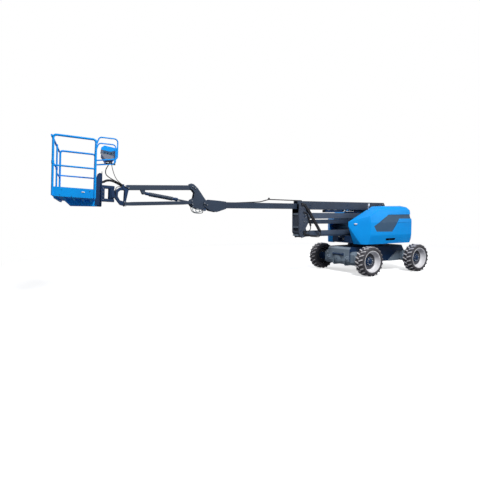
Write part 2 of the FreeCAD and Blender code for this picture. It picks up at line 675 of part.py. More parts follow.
def slotted_arm(x0, x1, z, half_y, half_z, end_r, pin_r):
    """Box-section arm with a cross boss and bore at each end."""
    parts = [box_tube_x(x0, x1, half_y, z - half_z, z + half_z, TUBE_WALL)]
    parts += [rod_y(x, z, end_r, -half_y, half_y) for x in (x0, x1)]
    arm = fuse(parts)
    for x in (x0, x1):
        arm = bore_y(arm, x, z, pin_r + RUN, half_y)
    return arm


def flat_link(x0, x1, z, y0, y1, half_z, end_half_z, taper, pin_r):
    """Flat bar that narrows towards its pins."""
    near, far = taper, taper + LINK_TAPER
    lower = [(x0, -end_half_z), (x0 + near, -end_half_z), (x0 + far, -half_z), (x1 - far, -half_z),
             (x1 - near, -end_half_z), (x1, -end_half_z)]
    outline = [(x, z + h) for x, h in lower] + [(x, z - h) for x, h in reversed(lower)]
    bar = fuse([plate_y(outline, y0, y1)] + [rod_y(x, z, end_half_z, y0, y1) for x in (x0, x1)])
    for x in (x0, x1):
        bar = bore_y(bar, x, z, pin_r + RUN, y1)
    return bar


def ram_shapes(ram, pin_xz):
    """Barrel and rod of a hydraulic cylinder, its axis in the middle plane."""
    px, pz = pin_xz
    ex, ez = ram["eye"]
    pin = V(px, 0, pz)
    eye = V(ex, 0, ez)
    way = (eye - pin).normalize()
    rb, rr = ram["rb"], ram["rr"]
    head = pin + way * ram["barrel"]
    tube = rod_between(pin + way * (rb + 10), head, rb)
    bore = rod_between(pin + way * (rb + 40), head - way * 40, rb - RAM_WALL)
    gland = rod_between(head - way * 45, head + way * LAP, rr + RUN)
    collar = rod_between(head - way * 60, head, rb + COLLAR_W)
    lug = rod_y(px, pz, rb, -EYE_HALF_Y - GAP, EYE_HALF_Y + GAP)
    neck = rod_between(pin, pin + way * (rb + 16), EYE_HALF_Y + 4)
    barrel = fuse([tube, collar, lug, neck]).cut(bore).cut(gland)
    barrel = bore_y(barrel, px, pz, RAM_PIN_R + RUN, rb)
    eye_r = rr + EYE_WALL
    tail = eye - way * ram["rod"]
    shaft = rod_between(tail, eye - way * (eye_r - 6), rr)
    piston = rod_between(tail, tail + way * 40, rb - RAM_WALL - RUN)
    rod = fuse([shaft, piston, rod_y(ex, ez, eye_r, -EYE_HALF_Y, EYE_HALF_Y)])
    return barrel, rod


def eye_ears(ram, foot_z, half_x):
    """Pair of ears that a rod's eye stands between."""
    ex, ez = ram["eye"]
    end = ram["rr"] + GAP
    tip = ez - end if ez < foot_z else ez + end
    outline = [(ex - half_x, foot_z), (ex + half_x, foot_z), (ex + end, tip), (ex - end, tip)]
    return both(plate_y(outline, end, end + EAR_T))


def build_riser():
    ax, az = ARM_PIN
    lx, lz = ax + LINK_OFFSET[0], az + LINK_OFFSET[1]
    arm = slotted_arm(ax, MID_X, az, LOWER_ARM_HALF_Y, LOWER_ARM_HALF_Z, LOWER_BOSS_R, PIN_R)
    nodes["lower_arm"] = fuse([arm] + eye_ears(RAM_LOWER, az - LOWER_ARM_HALF_Z + LAP, 70))
    link = flat_link(lx, lx + RISER_L, lz, LINK_Y0, LINK_Y1, LINK_HALF_Z, LINK_HALF_Z, 200, STUB_PIN_R)
    nodes["lower_link"] = Part.makeCompound(both(link))
    nodes["riser_barrel"], nodes["riser_rod"] = ram_shapes(RAM_LOWER, RAM_LOWER["pin"])

    pin = (MID_X, az)
    near_cheek = at(pin, [(210, 20), (210, 820), (170, 850), (90, 830), (50, 730), (-70, 530), (-80, 290),
                          (0, 160), (-55, 20), (-40, -100), (100, -135)])
    far_cheek = at(pin, [(210, 20), (210, 755), (60, 755), (-70, 530), (-80, 290), (0, 160), (-55, 20),
                         (-40, -100), (100, -135)])
    foot = at(pin, [(180, 60), (198, 60), (198, 15), (112, -120), (102, -112), (180, 15)])
    ux, uz, vz = UPPER_PIN_X, UPPER_PIN_Z, UPPER_LINK_Z
    inner = MID_Y0 + LAP
    parts = [rounded(plate_y(near_cheek, MID_Y0, MID_Y1), 12), mirror_y(plate_y(far_cheek, MID_Y0, MID_Y1))]
    for z in (BOOM_Z0 - MID_RUNG_T - FIT, az + MID_RUNGS[1], az + MID_RUNGS[0]):
        parts.append(block(MID_X + 100, MID_FRONT, -inner, inner, z, z + MID_RUNG_T))
    parts.append(block(MID_X + 175, MID_X + 187, -inner, inner, az + MID_RUNGS[0], az + MID_RUNGS[1] + 10))
    parts.append(plate_y(foot, -inner, inner))
    parts.append(rod_y(MID_X, az, PIN_R, -MID_Y1 - 10, MID_Y1 + 10))
    parts.append(rod_y(ux, uz, PIN_R, -MID_Y1 - 10, MID_Y1 + 10))
    parts += both(rod_y(lx + RISER_L, lz, STUB_PIN_R, LINK_Y0 - 7, MID_Y1 + 6))
    parts += both(rod_y(ux, vz, STUB_PIN_R, UPPER_LINK_Y0 - 7, MID_Y1 + 8))
    nodes["mid_pivot"] = fuse(parts)

    hoses = []
    for run in PIVOT_HOSES:
        points = [V(x, PIVOT_HOSE_Y, z) for x, z in at(pin, run)]
        hoses.append(bent_tube(points, PIVOT_HOSE_BEND, PIVOT_HOSE_R))
    clamp_y = PIVOT_HOSE_Y + PIVOT_HOSE_R + 2
    for x0, x1, z0, z1 in PIVOT_CLAMPS:
        hoses.append(block(MID_X + x0, MID_X + x1, MID_Y1 + FIT, clamp_y, az + z0, az + z1))
    nodes["pivot_hoses"] = fuse(hoses)

    rx = ux - RISER_L
    nodes["upper_arm"] = slotted_arm(rx, ux, uz, UPPER_ARM_HALF_Y, UPPER_ARM_HALF_Z, UPPER_BOSS_R, PIN_R)
    upper = flat_link(rx, ux, vz, UPPER_LINK_Y0, UPPER_LINK_Y1, UPPER_LINK_HALF_Z,
                      UPPER_LINK_END_HALF_Z, 300, STUB_PIN_R)
    nodes["upper_link"] = Part.makeCompound(both(upper))

    bx, bz = BOOM_PIN
    px, pz = RAM_LIFT["pin"]
    cheek = [(rx - 80, vz - 60), (rx + 90, vz - 60), (px + 70, pz - 30), (px + 70, pz + 26),
             (bx + 120, bz + 95), (bx - 60, bz + 95), (rx - 80, bz + 20)]
    parts = both(rounded(plate_y(cheek, PIVOT_Y0, PIVOT_Y1), 15))
    parts.append(rod_y(rx, uz, PIN_R, -PIVOT_Y1 - 8, PIVOT_Y1 + 8))
    parts += both(rod_y(rx, vz, STUB_PIN_R, UPPER_LINK_Y0 - 7, PIVOT_Y1 + 8))
    parts.append(rod_y(bx, bz, BOOM_PIN_R, -PIVOT_Y1 - 8, PIVOT_Y1 + 8))
    parts.append(rod_y(px, pz, RAM_PIN_R, -PIVOT_Y1 - 8, PIVOT_Y1 + 8))
    parts.append(block(rx - 92, rx - 79, -PIVOT_Y1, PIVOT_Y1, vz - 40, bz - 140))
    nodes["upper_pivot"] = fuse(parts)


# Main boom

def build_boom():
    bx, bz = BOOM_PIN
    tube = box_tube_x(BOOM_REAR + BOOM_CAP_T, BOOM_FRONT, BOOM_HALF_Y, BOOM_Z0, BOOM_Z1, BOOM_WALL)
    cap = block(BOOM_REAR, BOOM_REAR + BOOM_CAP_T + LAP, -BOOM_HALF_Y, BOOM_HALF_Y, BOOM_Z0, BOOM_Z1)
    collar = block(BOOM_FRONT - COLLAR_L, BOOM_FRONT, -BOOM_HALF_Y - COLLAR_T, BOOM_HALF_Y + COLLAR_T,
                   BOOM_Z0, BOOM_Z1 + COLLAR_T)
    collar = collar.cut(block(BOOM_FRONT - COLLAR_L - LAP, BOOM_FRONT + LAP, -BOOM_HALF_Y + BOOM_WALL,
                              BOOM_HALF_Y - BOOM_WALL, BOOM_Z0 + BOOM_WALL, BOOM_Z1 - BOOM_WALL))
    pads = []
    for x in (BOOM_FRONT - COLLAR_L - PAD_L, FLY_REAR + PAD_L):
        for z0, z1 in ((FLY_Z1 + FIT, BOOM_Z1 - BOOM_WALL + LAP), (BOOM_Z0 + BOOM_WALL - LAP, FLY_Z0 - FIT)):
            pads.append(block(x, x + PAD_L, -FLY_HALF_Y, FLY_HALF_Y, z0, z1))
    boom = fuse([tube, cap, collar] + pads + eye_ears(RAM_LIFT, BOOM_Z0 + LAP, 80))
    nodes["main_boom"] = bore_y(boom, bx, bz, BOOM_PIN_R + RUN, BOOM_HALF_Y)
    nodes["lift_barrel"], nodes["lift_rod"] = ram_shapes(RAM_LIFT, RAM_LIFT["pin"])

    hx, hz = HEAD_PIN
    fly = box_tube_x(FLY_REAR, FLY_FRONT - COLLAR_L, FLY_HALF_Y, FLY_Z0, FLY_Z1, FLY_WALL)
    cheek = at(HEAD_PIN, [(-550, 70), (-550, -110), (-290, -192), (-120, -160), (40, -55), (55, 10),
                          (30, 70), (-50, 110), (-350, 90)])
    parts = [fly] + both(rounded(plate_y(cheek, HEAD_Y0, HEAD_Y1), 15))
    parts += both(block(hx - 540, hx - 290, FLY_HALF_Y - LAP, HEAD_Y0 + LAP, FLY_Z0 + 5, FLY_Z1 - 5))
    parts.append(rod_y(hx, hz, HEAD_PIN_R, -HEAD_Y1 - 8, HEAD_Y1 + 8))
    nodes["fly_boom"] = fuse(parts)

    roller_x = FLY_REAR + 2010
    route = [V(hx - 400, HOSE_Y, hz + 30), V(hx - 1650, HOSE_Y, hz + 92), V(roller_x, HOSE_Y, hz + 165),
             V(FLY_REAR + 900, HOSE_Y, hz + 150)]
    tube = bent_tube(route, 250, HOSE_R)
    clamp = block(hx - 450, hx - 400, HOSE_Y - HOSE_R - 2, -HEAD_Y1 - FIT, hz + 8, hz + 48)
    roller = rod_y(roller_x, hz + 190, 22, HOSE_Y - HOSE_R - 2, HOSE_Y + HOSE_R + 2)
    nodes["hose_carrier"] = fuse([tube, clamp, roller])


# Jib

def sloped(shape, pin):
    """The shape turned about a pin to the jib's parked slope."""
    turned = shape.copy()
    turned.rotate(V(pin[0], 0, pin[1]), V(0, 1, 0), -JIB_SLOPE)
    return turned


def build_jib():
    jx, jz = JIB_PIN
    link_pin = (jx + JIB_LINK_OFFSET[0], jz + JIB_LINK_OFFSET[1])
    kx, kz = link_pin
    hx, hz = HEAD_PIN
    cheek = at(HEAD_PIN, [(380, 492), (290, 472), (190, 382), (10, 130), (-60, 40), (-50, -100), (10, -132),
                          (190, -132), (350, -60), (400, 12), (375, 102), (300, 140), (270, 270), (330, 342),
                          (380, 362)])
    plate = rounded(plate_y(cheek, BELL_Y0, BELL_Y1), 18)
    parts = both(bore_y(plate, hx, hz, HEAD_PIN_R + RUN, BELL_Y1))
    parts.append(rod_y(jx, jz, PIN_R, -BELL_Y1 - 8, BELL_Y1 + 8))
    parts += both(rod_y(kx, kz, STUB_PIN_R, BELL_Y0, JIB_LINK_Y1 + 6))
    parts.append(rod_y(hx + 110, hz + 180, 24, -BELL_Y0 - LAP, BELL_Y0 + LAP))
    nodes["bellcrank"] = fuse(parts)

    upper = slotted_arm(jx, jx + JIB_L, jz, JIB_HALF_Y, JIB_HALF_Z, JIB_BOSS_R, PIN_R)
    px, pz = jx + RAM_JIB["pin"][0], jz + RAM_JIB["pin"][1]
    ear_top = jz - JIB_HALF_Z + LAP
    ear = [(px - 46, ear_top), (px + 60, ear_top), (px + 34, pz - 10), (px, pz - 36), (px - 34, pz - 10)]
    ear_y = EYE_HALF_Y + GAP + 2
    ears = both(plate_y(ear, ear_y, ear_y + EAR_T))
    pin = rod_y(px, pz, RAM_PIN_R, -ear_y - EAR_T - 4, ear_y + EAR_T + 4)
    nodes["jib_boom"] = sloped(fuse([upper, pin] + ears), JIB_PIN)
    ram_pin = sloped(Part.Vertex(px, 0, pz), JIB_PIN).Point
    nodes["jib_barrel"], nodes["jib_rod"] = ram_shapes(RAM_JIB, (ram_pin.x, ram_pin.z))

    bar = flat_link(kx, kx + JIB_L, kz, JIB_LINK_Y0, JIB_LINK_Y1, JIB_LINK_HALF_Z, JIB_LINK_HALF_Z - 4,
                    60, STUB_PIN_R)
    nodes["jib_link"] = sloped(Part.makeCompound(both(bar)), link_pin)

    ux, uz = JIB_END
    vx, vz = ux + JIB_LINK_OFFSET[0], uz + JIB_LINK_OFFSET[1]
    cheek = [(ux - 38, uz - 30), (ux - 38, uz + 30), (ux, uz + 46), (ux + 160, uz - 10),
             (ux + 250, ROTOR_Z1 - 25), (ROTOR_X, ROTOR_Z1 - 25), (ROTOR_X, ROTOR_Z0 + 25),
             (ux + 260, ROTOR_Z0 + 25), (ux + 150, vz - 22), (vx, vz - 44), (vx - 44, vz - 16),
             (vx - 30, vz + 60)]
    hole = [(ux + 50, uz - 55), (ux + 135, uz - 62), (ux + 190, uz - 110), (ux + 200, uz - 200),
            (ux + 160, uz - 285), (vx + 12, vz + 52)]
    plate = plate_y(cheek, BELL_Y0, BELL_Y1).cut(rounded(plate_y(hole, BELL_Y0 - LAP, BELL_Y1 + LAP), 20))
    parts = both(plate)
    parts.append(rod_y(ux, uz, PIN_R, -BELL_Y1 - 8, BELL_Y1 + 8))
    parts += both(rod_y(vx, vz, STUB_PIN_R, BELL_Y0, JIB_LINK_Y1 + 6))
    rotor = [rod_z(ROTOR_X, 0, ROTOR_R, ROTOR_Z0, ROTOR_Z1),
             rod_z(ROTOR_X, 0, ROTOR_PIN_R, ROTOR_Z0 - 30, ROTOR_Z1 + 30)]
    nodes["jib_head"] = fuse(parts + [nose_up(piece) for piece in rotor])


# Platform

def nose_up(shape):
    """The shape tipped about the rotator's centre to the platform's parked tilt."""
    tipped = shape.copy()
    tipped.rotate(V(ROTOR_X, 0, (ROTOR_Z0 + ROTOR_Z1) / 2), V(0, 1, 0), -PLAT_NOSE_UP)
    return tipped


def as_parked(shape):
    """A platform piece turned on the rotator and tipped with it."""
    turned = shape.copy()
    turned.rotate(V(ROTOR_X, 0, 0), V(0, 0, 1), PLAT_TURN)
    return nose_up(turned)


def platform_mount():
    """Fork round the rotator, back plate and the two webs that carry the floor."""
    t = BRACKET_T
    top = ROTOR_Z1 + GAP
    low = ROTOR_Z0 - GAP
    parts = []
    for z in (top, low - t):
        disc = rod_z(ROTOR_X, 0, BRACKET_HALF_Y, z, z + t)
        arm = block(ROTOR_X, BRACKET_BACK, -BRACKET_HALF_Y, BRACKET_HALF_Y, z, z + t)
        bore = rod_z(ROTOR_X, 0, ROTOR_PIN_R + RUN, z - LAP, z + t + LAP)
        parts.append(disc.fuse(arm).cut(bore))
    parts.append(block(BRACKET_BACK - BRACKET_BLOCK, BRACKET_BACK, -90, 90, low - t, top + t))
    under = FLOOR_Z0 - FIT
    back = [(-200, under - 109), (200, under - 109), (200, 2300), (140, 2600), (-140, 2600), (-200, 2300)]
    parts.append(plate_x(back, BRACKET_BACK - LAP, BRACKET_BACK + BACK_PLATE_T))
    b = BRACKET_BACK
    web = [(b, under - 109), (b + 602, under - 135), (b + 687, under - 56), (b + 742, under),
           (PLAT_X0 - 30, under), (PLAT_X0 - 30, 2110), (b + 86, 2560), (b + 62, 2600), (b, 2600)]
    parts += both(plate_y(web, WEB_Y, WEB_Y + WEB_T))
    return fuse(parts)


def platform_rails():
    """Bent side frames, end rails, posts and toe boards."""
    x0, x1, w = PLAT_X0, PLAT_X1, PLAT_HALF_Y
    foot = FLOOR_Z + FIT
    parts = []
    for y in (-w, w):
        side = [V(x0, y, foot), V(x0, y, TOP_RAIL_Z), V(x1, y, TOP_RAIL_Z), V(x1, y, foot)]
        parts.append(bent_tube(side, SIDE_BEND, SIDE_R))
        parts.append(rod_x(y, MID_RAIL_Z, MID_RAIL_R, x0, x1))
    for x, y in ((x1, 0), (x0, -HOOP_Y), (x0, HOOP_Y)):
        parts.append(rod_z(x, y, POST_R, foot, TOP_RAIL_Z - RAIL_DROP))
    end_z = TOP_RAIL_Z - RAIL_DROP
    parts.append(rod_y(x0, end_z, RAIL_R, -w, w))
    parts.append(rod_y(x1 + RAIL_OUT, end_z, RAIL_R, -w - SIDE_R, w + SIDE_R))
    parts.append(rod_y(x0, MID_RAIL_Z, MID_RAIL_R, -w, w))
    parts.append(rod_y(x1, FRONT_MID_Z, MID_RAIL_R, -w, 0))
    t = TOE_HALF_T
    for y in (-w, w):
        parts.append(block(x0 - t, x1 + t, y - t, y + t, FLOOR_Z0, FLOOR_Z0 + TOE_H))
    for x in (x0, x1):
        parts.append(block(x - t, x + t, -w, w, FLOOR_Z0, FLOOR_Z0 + TOE_H))
    return fuse(parts)


def hoop_base_z(x):
    """Height of the hoops' lower runs, which fall towards the platform."""
    return FLOOR_Z0 + HOOP_BASE + HOOP_BASE_SLOPE * (x - PLAT_X0 + HOOP_REACH)


def control_hoops():
    """Two hoops with cross rods and side plates that carry and guard the platform's controls."""
    x0, z0 = PLAT_X0, FLOOR_Z0
    parts = []
    for x in (x0 - 335, x0 - 195):
        parts.append(rod_y(x, hoop_base_z(x) + HOOP_R, TRAY_R, -HOOP_Y, HOOP_Y))
    for y in (-HOOP_Y, HOOP_Y):
        arch = [V(x0, y, TOP_RAIL_Z - RAIL_DROP), V(x0 - 65, y, z0 + HOOP_TOP),
                V(x0 - HOOP_REACH, y, z0 + HOOP_TOP + 5), V(x0 - HOOP_REACH, y, hoop_base_z(x0 - HOOP_REACH)),
                V(x0, y, hoop_base_z(x0))]
        parts.append(bent_tube(arch, HOOP_BEND, HOOP_R))
        plate = at((x0, z0), [(-425, 925), (-385, 915), (-372, 1105), (-425, 1110)])
        parts.append(plate_y(plate, y - TOE_HALF_T, y + TOE_HALF_T))
    guard = [V(x0, HOOP_Y, z0 + 712), V(x0 - 350, HOOP_Y, z0 + 768),
             V(x0 - 385, HOOP_Y, hoop_base_z(x0 - 385))]
    parts.append(bent_tube(guard, 30, GUARD_R))
    hoops = fuse(parts)
    top_z = TOP_RAIL_Z - RAIL_DROP
    hoops = hoops.cut(rod_y(x0, top_z, RAIL_R + FIT, -HOOP_Y - 40, HOOP_Y + 40))
    hoops = hoops.cut(block(x0, x0 + 40, -HOOP_Y - 40, HOOP_Y + 40, z0, TOP_RAIL_Z))
    for y in (-HOOP_Y, HOOP_Y):
        hoops = hoops.cut(rod_z(x0, y, POST_R + FIT, z0, top_z))
    return hoops


def entry_bar():
    """Bar that slides up on two posts, where the platform is entered."""
    x1, w = PLAT_X1, PLAT_HALF_Y
    z0 = MID_RAIL_Z + MID_RAIL_R + GAP
    z1 = MID_RAIL_Z + SLEEVE_Z
    posts = ((0, POST_R), (w, SIDE_R))
    parts = [rod_y(x1, (z0 + z1) / 2, MID_RAIL_R, POST_R, w - SIDE_R)]
    parts += [rod_z(x1, y, r + SLEEVE_RUN + SLEEVE_WALL, z0, z1) for y, r in posts]
    bar = fuse(parts)
    for y, r in posts:
        bar = bar.cut(rod_z(x1, y, r + SLEEVE_RUN, z0 - LAP, z1 + LAP))
    return bar


def control_box():
    x0, z0 = PLAT_X0, FLOOR_Z0
    lift = HOOP_R + (TRAY_R + FIT) * math.hypot(1, HOOP_BASE_SLOPE)
    base = [(x, hoop_base_z(x) + lift) for x in (x0 - 350, x0 - 177)]
    case = base + at((x0, z0), [(-108, 968), (-115, 1086), (-170, 1132), (-373, 1106), (-378, 929)])
    return rounded(plate_y(case, -BOX_HALF_Y, BOX_HALF_Y), 8)


def build_platform():
    x0, x1, w = PLAT_X0, PLAT_X1, PLAT_HALF_Y
    inset = TOE_HALF_T + FIT
    level = {"platform_mount": platform_mount(),
             "platform_floor": block(x0 + inset, x1 - inset, -w + inset, w - inset, FLOOR_Z0, FLOOR_Z),
             "platform_rails": platform_rails(),
             "control_hoops": control_hoops(),
             "entry_bar": entry_bar(),
             "control_box": control_box()}
    for name, shape in level.items():
        nodes[name] = as_parked(shape)


def export_all():
    os.makedirs("parts", exist_ok=True)
    for name in sorted(nodes):
        shape = nodes[name]
        shape.exportStep("parts/" + name + ".step")
        print("%-22s solids %d faces %4d volume %.5f valid %s" % (
            name, len(shape.Solids), len(shape.Faces), shape.Volume / 1e9, shape.isValid()))


build_wheels()
build_chassis()
build_turntable()
build_hoods()
build_riser()
build_boom()
build_jib()
build_platform()
export_all()
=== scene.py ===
# %% [markdown]
# # Articulating boom lift
# This notebook dresses the frame of a self-propelled boom lift: four lugged wheels, a chassis, a turntable with
# two blue hoods, a folding riser, a telescopic boom, a jib and a railed platform. The frame is exact and stays
# where it is. Each step says what the real piece is, how it could be made here, and why one way was chosen.

# %% Load the frame
import json
import math
import bmesh
import bpy
from mathutils import Matrix, Vector


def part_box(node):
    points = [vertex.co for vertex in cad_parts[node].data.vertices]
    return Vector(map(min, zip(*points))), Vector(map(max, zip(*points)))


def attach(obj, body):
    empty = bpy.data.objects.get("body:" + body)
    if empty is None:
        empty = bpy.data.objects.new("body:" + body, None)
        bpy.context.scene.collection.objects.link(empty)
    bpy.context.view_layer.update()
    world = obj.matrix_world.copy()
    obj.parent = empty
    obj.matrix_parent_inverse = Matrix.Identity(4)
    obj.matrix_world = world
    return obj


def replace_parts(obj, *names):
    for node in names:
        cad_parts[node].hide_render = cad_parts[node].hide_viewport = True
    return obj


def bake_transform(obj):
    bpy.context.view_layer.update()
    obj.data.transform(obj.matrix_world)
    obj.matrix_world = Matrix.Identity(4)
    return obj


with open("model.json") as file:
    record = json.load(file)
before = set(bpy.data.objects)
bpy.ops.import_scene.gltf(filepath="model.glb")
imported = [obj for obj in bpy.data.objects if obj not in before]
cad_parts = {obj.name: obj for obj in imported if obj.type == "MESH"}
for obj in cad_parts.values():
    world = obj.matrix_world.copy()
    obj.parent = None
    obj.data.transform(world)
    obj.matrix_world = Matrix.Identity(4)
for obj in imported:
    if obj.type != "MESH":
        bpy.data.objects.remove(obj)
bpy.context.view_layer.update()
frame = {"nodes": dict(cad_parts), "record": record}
MM = 0.001

# %% [markdown]
# Paint makers give colours as sRGB hex codes, but a shader wants linear light. One small function turns one into
# the other. A second adds a node with its settings and links, so that a material reads as a list of what it does.

# %% Colour and node helpers
def hex_rgb(code):
    """Linear colour of an sRGB hex code."""
    raw = [int(code[i:i + 2], 16) / 255 for i in (0, 2, 4)]
    lin = [c / 12.92 if c <= 0.04045 else ((c + 0.055) / 1.055) ** 2.4 for c in raw]
    return (*lin, 1.0)


def add_node(tree, kind, props=None, **inputs):
    """Adds a node. Inputs are values or sockets to link from; i0, i1 and so on stand for numbered sockets."""
    made = tree.nodes.new(kind)
    for key, value in (props or {}).items():
        setattr(made, key, value)
    for key, value in inputs.items():
        number = key[1:]
        socket = made.inputs[int(number) if key[0] == "i" and number.isdigit() else key.replace("_", " ")]
        if isinstance(value, bpy.types.NodeSocket):
            tree.links.new(value, socket)
        else:
            socket.default_value = value
    return made


# %% [markdown]
# The photograph was taken from a little below platform height, from the machine's left and ahead of it, with a
# moderately wide lens. The camera's place was solved from the wheels, the rails and the booms' straight edges.
# The sensor is 36 mm wide, and 350 pixels of a 480 pixel frame make a 26.25 mm lens.

# %% Camera
FRAME_PX = 480
FOCAL_PX = 350.0
SENSOR_MM = 36.0
EYE = Vector((8.7395, 8.0490, 1.6409))
YAW, PITCH, ROLL = -2.048555, -0.060566, -0.005742

look = Vector((math.cos(PITCH) * math.cos(YAW), math.cos(PITCH) * math.sin(YAW), math.sin(PITCH)))
level = look.cross(Vector((0, 0, 1))).normalized()
upright = level.cross(look)
right = level * math.cos(ROLL) + upright * math.sin(ROLL)
up = upright * math.cos(ROLL) - level * math.sin(ROLL)
cam_data = bpy.data.cameras.new("camera")
cam_data.sensor_width = SENSOR_MM
cam_data.lens = FOCAL_PX / FRAME_PX * SENSOR_MM
camera = bpy.data.objects.new("camera", cam_data)
camera.matrix_world = Matrix.Translation(EYE) @ Matrix((right, up, -look)).transposed().to_4x4()
scene = bpy.context.scene
scene.collection.objects.link(camera)
scene.camera = camera
print("lens", round(cam_data.lens, 2))

# %% [markdown]
# A studio has a big soft lamp above, a softer one in front and a white surround. The floor is pale, keeps the
# machine's shadow and looks nearly white to the camera. The lamps stay low, so that a colour renders about as it
# is written. What a mirror or a pane would show of the surround is white too, or chrome would look dead.

# %% World
MIRROR_SHARE = 0.45      # how much of the white surround a shiny surface shows
scene.view_settings.view_transform = "Standard"
world = bpy.data.worlds.new("studio")
scene.world = world
world.use_nodes = True
wt = world.node_tree
wt.nodes.clear()
rays = add_node(wt, "ShaderNodeLightPath")
seen = add_node(wt, "ShaderNodeMath", {"operation": "MAXIMUM"},
                i0=rays.outputs["Is Camera Ray"], i1=rays.outputs["Is Transmission Ray"])
mirrored = add_node(wt, "ShaderNodeMath", {"operation": "MULTIPLY"}, i0=rays.outputs["Is Glossy Ray"],
                    i1=MIRROR_SHARE)
seen = add_node(wt, "ShaderNodeMath", {"operation": "MAXIMUM"}, i0=seen.outputs[0], i1=mirrored.outputs[0])
sky_dim = add_node(wt, "ShaderNodeBackground", Color=hex_rgb("F1F4F8"), Strength=0.30)
sky_white = add_node(wt, "ShaderNodeBackground", Color=(1, 1, 1, 1), Strength=1.0)
sky = add_node(wt, "ShaderNodeMixShader", i0=seen.outputs[0], i1=sky_dim.outputs[0], i2=sky_white.outputs[0])
add_node(wt, "ShaderNodeOutputWorld", Surface=sky.outputs[0])


# %% Lamps
def area_lamp(name, place, target, size, watts):
    """Square lamp of a size in metres, aimed at a target."""
    lamp = bpy.data.lights.new(name, "AREA")
    lamp.shape = "SQUARE"
    lamp.size = size
    lamp.energy = watts
    holder = bpy.data.objects.new(name, lamp)
    holder.location = place
    holder.rotation_euler = (Vector(target) - Vector(place)).to_track_quat("-Z", "Y").to_euler()
    scene.collection.objects.link(holder)


area_lamp("key_lamp", (4.8, 7.5, 9.5), (3.0, 0.0, 1.5), 3.5, 1150)
area_lamp("fill_lamp", (-5.5, 7.0, 4.5), (0.5, 0.0, 1.2), 4.0, 110)
area_lamp("back_lamp", (2.0, -8.0, 6.5), (3.0, 0.0, 1.5), 5.0, 220)

# %% Floor
FLOOR_HALF = 60.0
FADE_FROM, FADE_TO = 9.0, 13.0   # metres from the origin over which the floor turns white
floor_mesh = bpy.data.meshes.new("floor")
floor_mesh.from_pydata([(x * FLOOR_HALF, y * FLOOR_HALF, 0) for x, y in ((-1, -1), (1, -1), (1, 1), (-1, 1))],
                       [], [(0, 1, 2, 3)])
floor = bpy.data.objects.new("floor", floor_mesh)
scene.collection.objects.link(floor)
floor_mat = bpy.data.materials.new("white floor paint")
floor_mat.use_nodes = True
ft = floor_mat.node_tree
ft.nodes.clear()
rays = add_node(ft, "ShaderNodeLightPath")
matt = add_node(ft, "ShaderNodeBsdfDiffuse", Color=hex_rgb("7E8084"))
pale = add_node(ft, "ShaderNodeBsdfDiffuse", Color=hex_rgb("FCFCFD"))
glow = add_node(ft, "ShaderNodeEmission", Color=(1, 1, 1, 1), Strength=0.6)
shadowed = add_node(ft, "ShaderNodeAddShader", i0=pale.outputs[0], i1=glow.outputs[0])
white = add_node(ft, "ShaderNodeEmission", Color=(1, 1, 1, 1), Strength=1.0)
place = add_node(ft, "ShaderNodeTexCoord").outputs["Object"]
away = add_node(ft, "ShaderNodeVectorMath", {"operation": "LENGTH"}, i0=place)
far = add_node(ft, "ShaderNodeMapRange", Value=away.outputs["Value"], From_Min=FADE_FROM,
               From_Max=FADE_TO)
near = add_node(ft, "ShaderNodeMixShader", i0=far.outputs[0], i1=shadowed.outputs[0], i2=white.outputs[0])
lit = add_node(ft, "ShaderNodeMixShader", i0=rays.outputs["Is Camera Ray"], i1=matt.outputs[0],
               i2=near.outputs[0])
add_node(ft, "ShaderNodeOutputMaterial", Surface=lit.outputs[0])
floor_mesh.materials.append(floor_mat)
# %% [markdown]
# ## Finishes
# Most of this machine is welded steel under sprayed enamel. Enamel on a plate is never flat: it has a fine orange
# peel that breaks up reflections, slow changes of tone where the coat is thicker, a film of dust on whatever faces
# up, and rubbed, paler corners. One recipe makes all of these from the surface's own place in metres, so the marks
# have a real size on every piece, and no picture is needed. Rubbed corners come from the Bevel node: where the
# rounded normal turns away from the true one, there is an edge.

# %% Material helpers
finish = {}


def new_material(title, **settings):
    """Material, its tree, its shader with some sockets set, and the surface's own place in metres."""
    mat = bpy.data.materials.new(title)
    mat.use_nodes = True
    tree = mat.node_tree
    shader = tree.nodes["Principled BSDF"]
    for key, value in settings.items():
        shader.inputs[key.replace("_", " ")].default_value = value
    return mat, tree, shader, add_node(tree, "ShaderNodeTexCoord").outputs["Object"]


def noise(tree, place, grain_mm, detail, **inputs):
    """Noise with grains of a size in millimetres."""
    return add_node(tree, "ShaderNodeTexNoise", Vector=place, Scale=1000 / grain_mm, Detail=detail,
                    **inputs).outputs["Fac"]


def ranged(tree, value, **limits):
    """A value carried from one range to another."""
    return add_node(tree, "ShaderNodeMapRange", Value=value, **limits).outputs[0]


def product(tree, a, b):
    return add_node(tree, "ShaderNodeMath", {"operation": "MULTIPLY"}, i0=a, i1=b).outputs[0]


def mixed(tree, amount, first, second, how="MIX"):
    """One colour turning into another."""
    return add_node(tree, "ShaderNodeMix", {"data_type": "RGBA", "blend_type": how}, i0=amount, i6=first,
                    i7=second).outputs[2]


def wired(tree, shader, rough, colour=None, height=None, strength=0.0, depth_mm=0.0):
    """Links roughness, and a colour and a bump where there are any, to the shader."""
    tree.links.new(rough, shader.inputs["Roughness"])
    if colour:
        tree.links.new(colour, shader.inputs["Base Color"])
    if height:
        bump = add_node(tree, "ShaderNodeBump", Strength=strength, Distance=depth_mm * MM, Height=height)
        tree.links.new(bump.outputs[0], shader.inputs["Normal"])


# %% Enamel recipe
ORANGE_PEEL_MM = 3.0     # ripples of sprayed enamel are 1 to 3 mm across
TONE_MM = 450.0          # slow changes of tone between two passes of the spray gun
DUST_MM = 28.0           # dust lies in patches of 10 to 30 mm
EDGE_MM = 4.0            # width of a rubbed corner


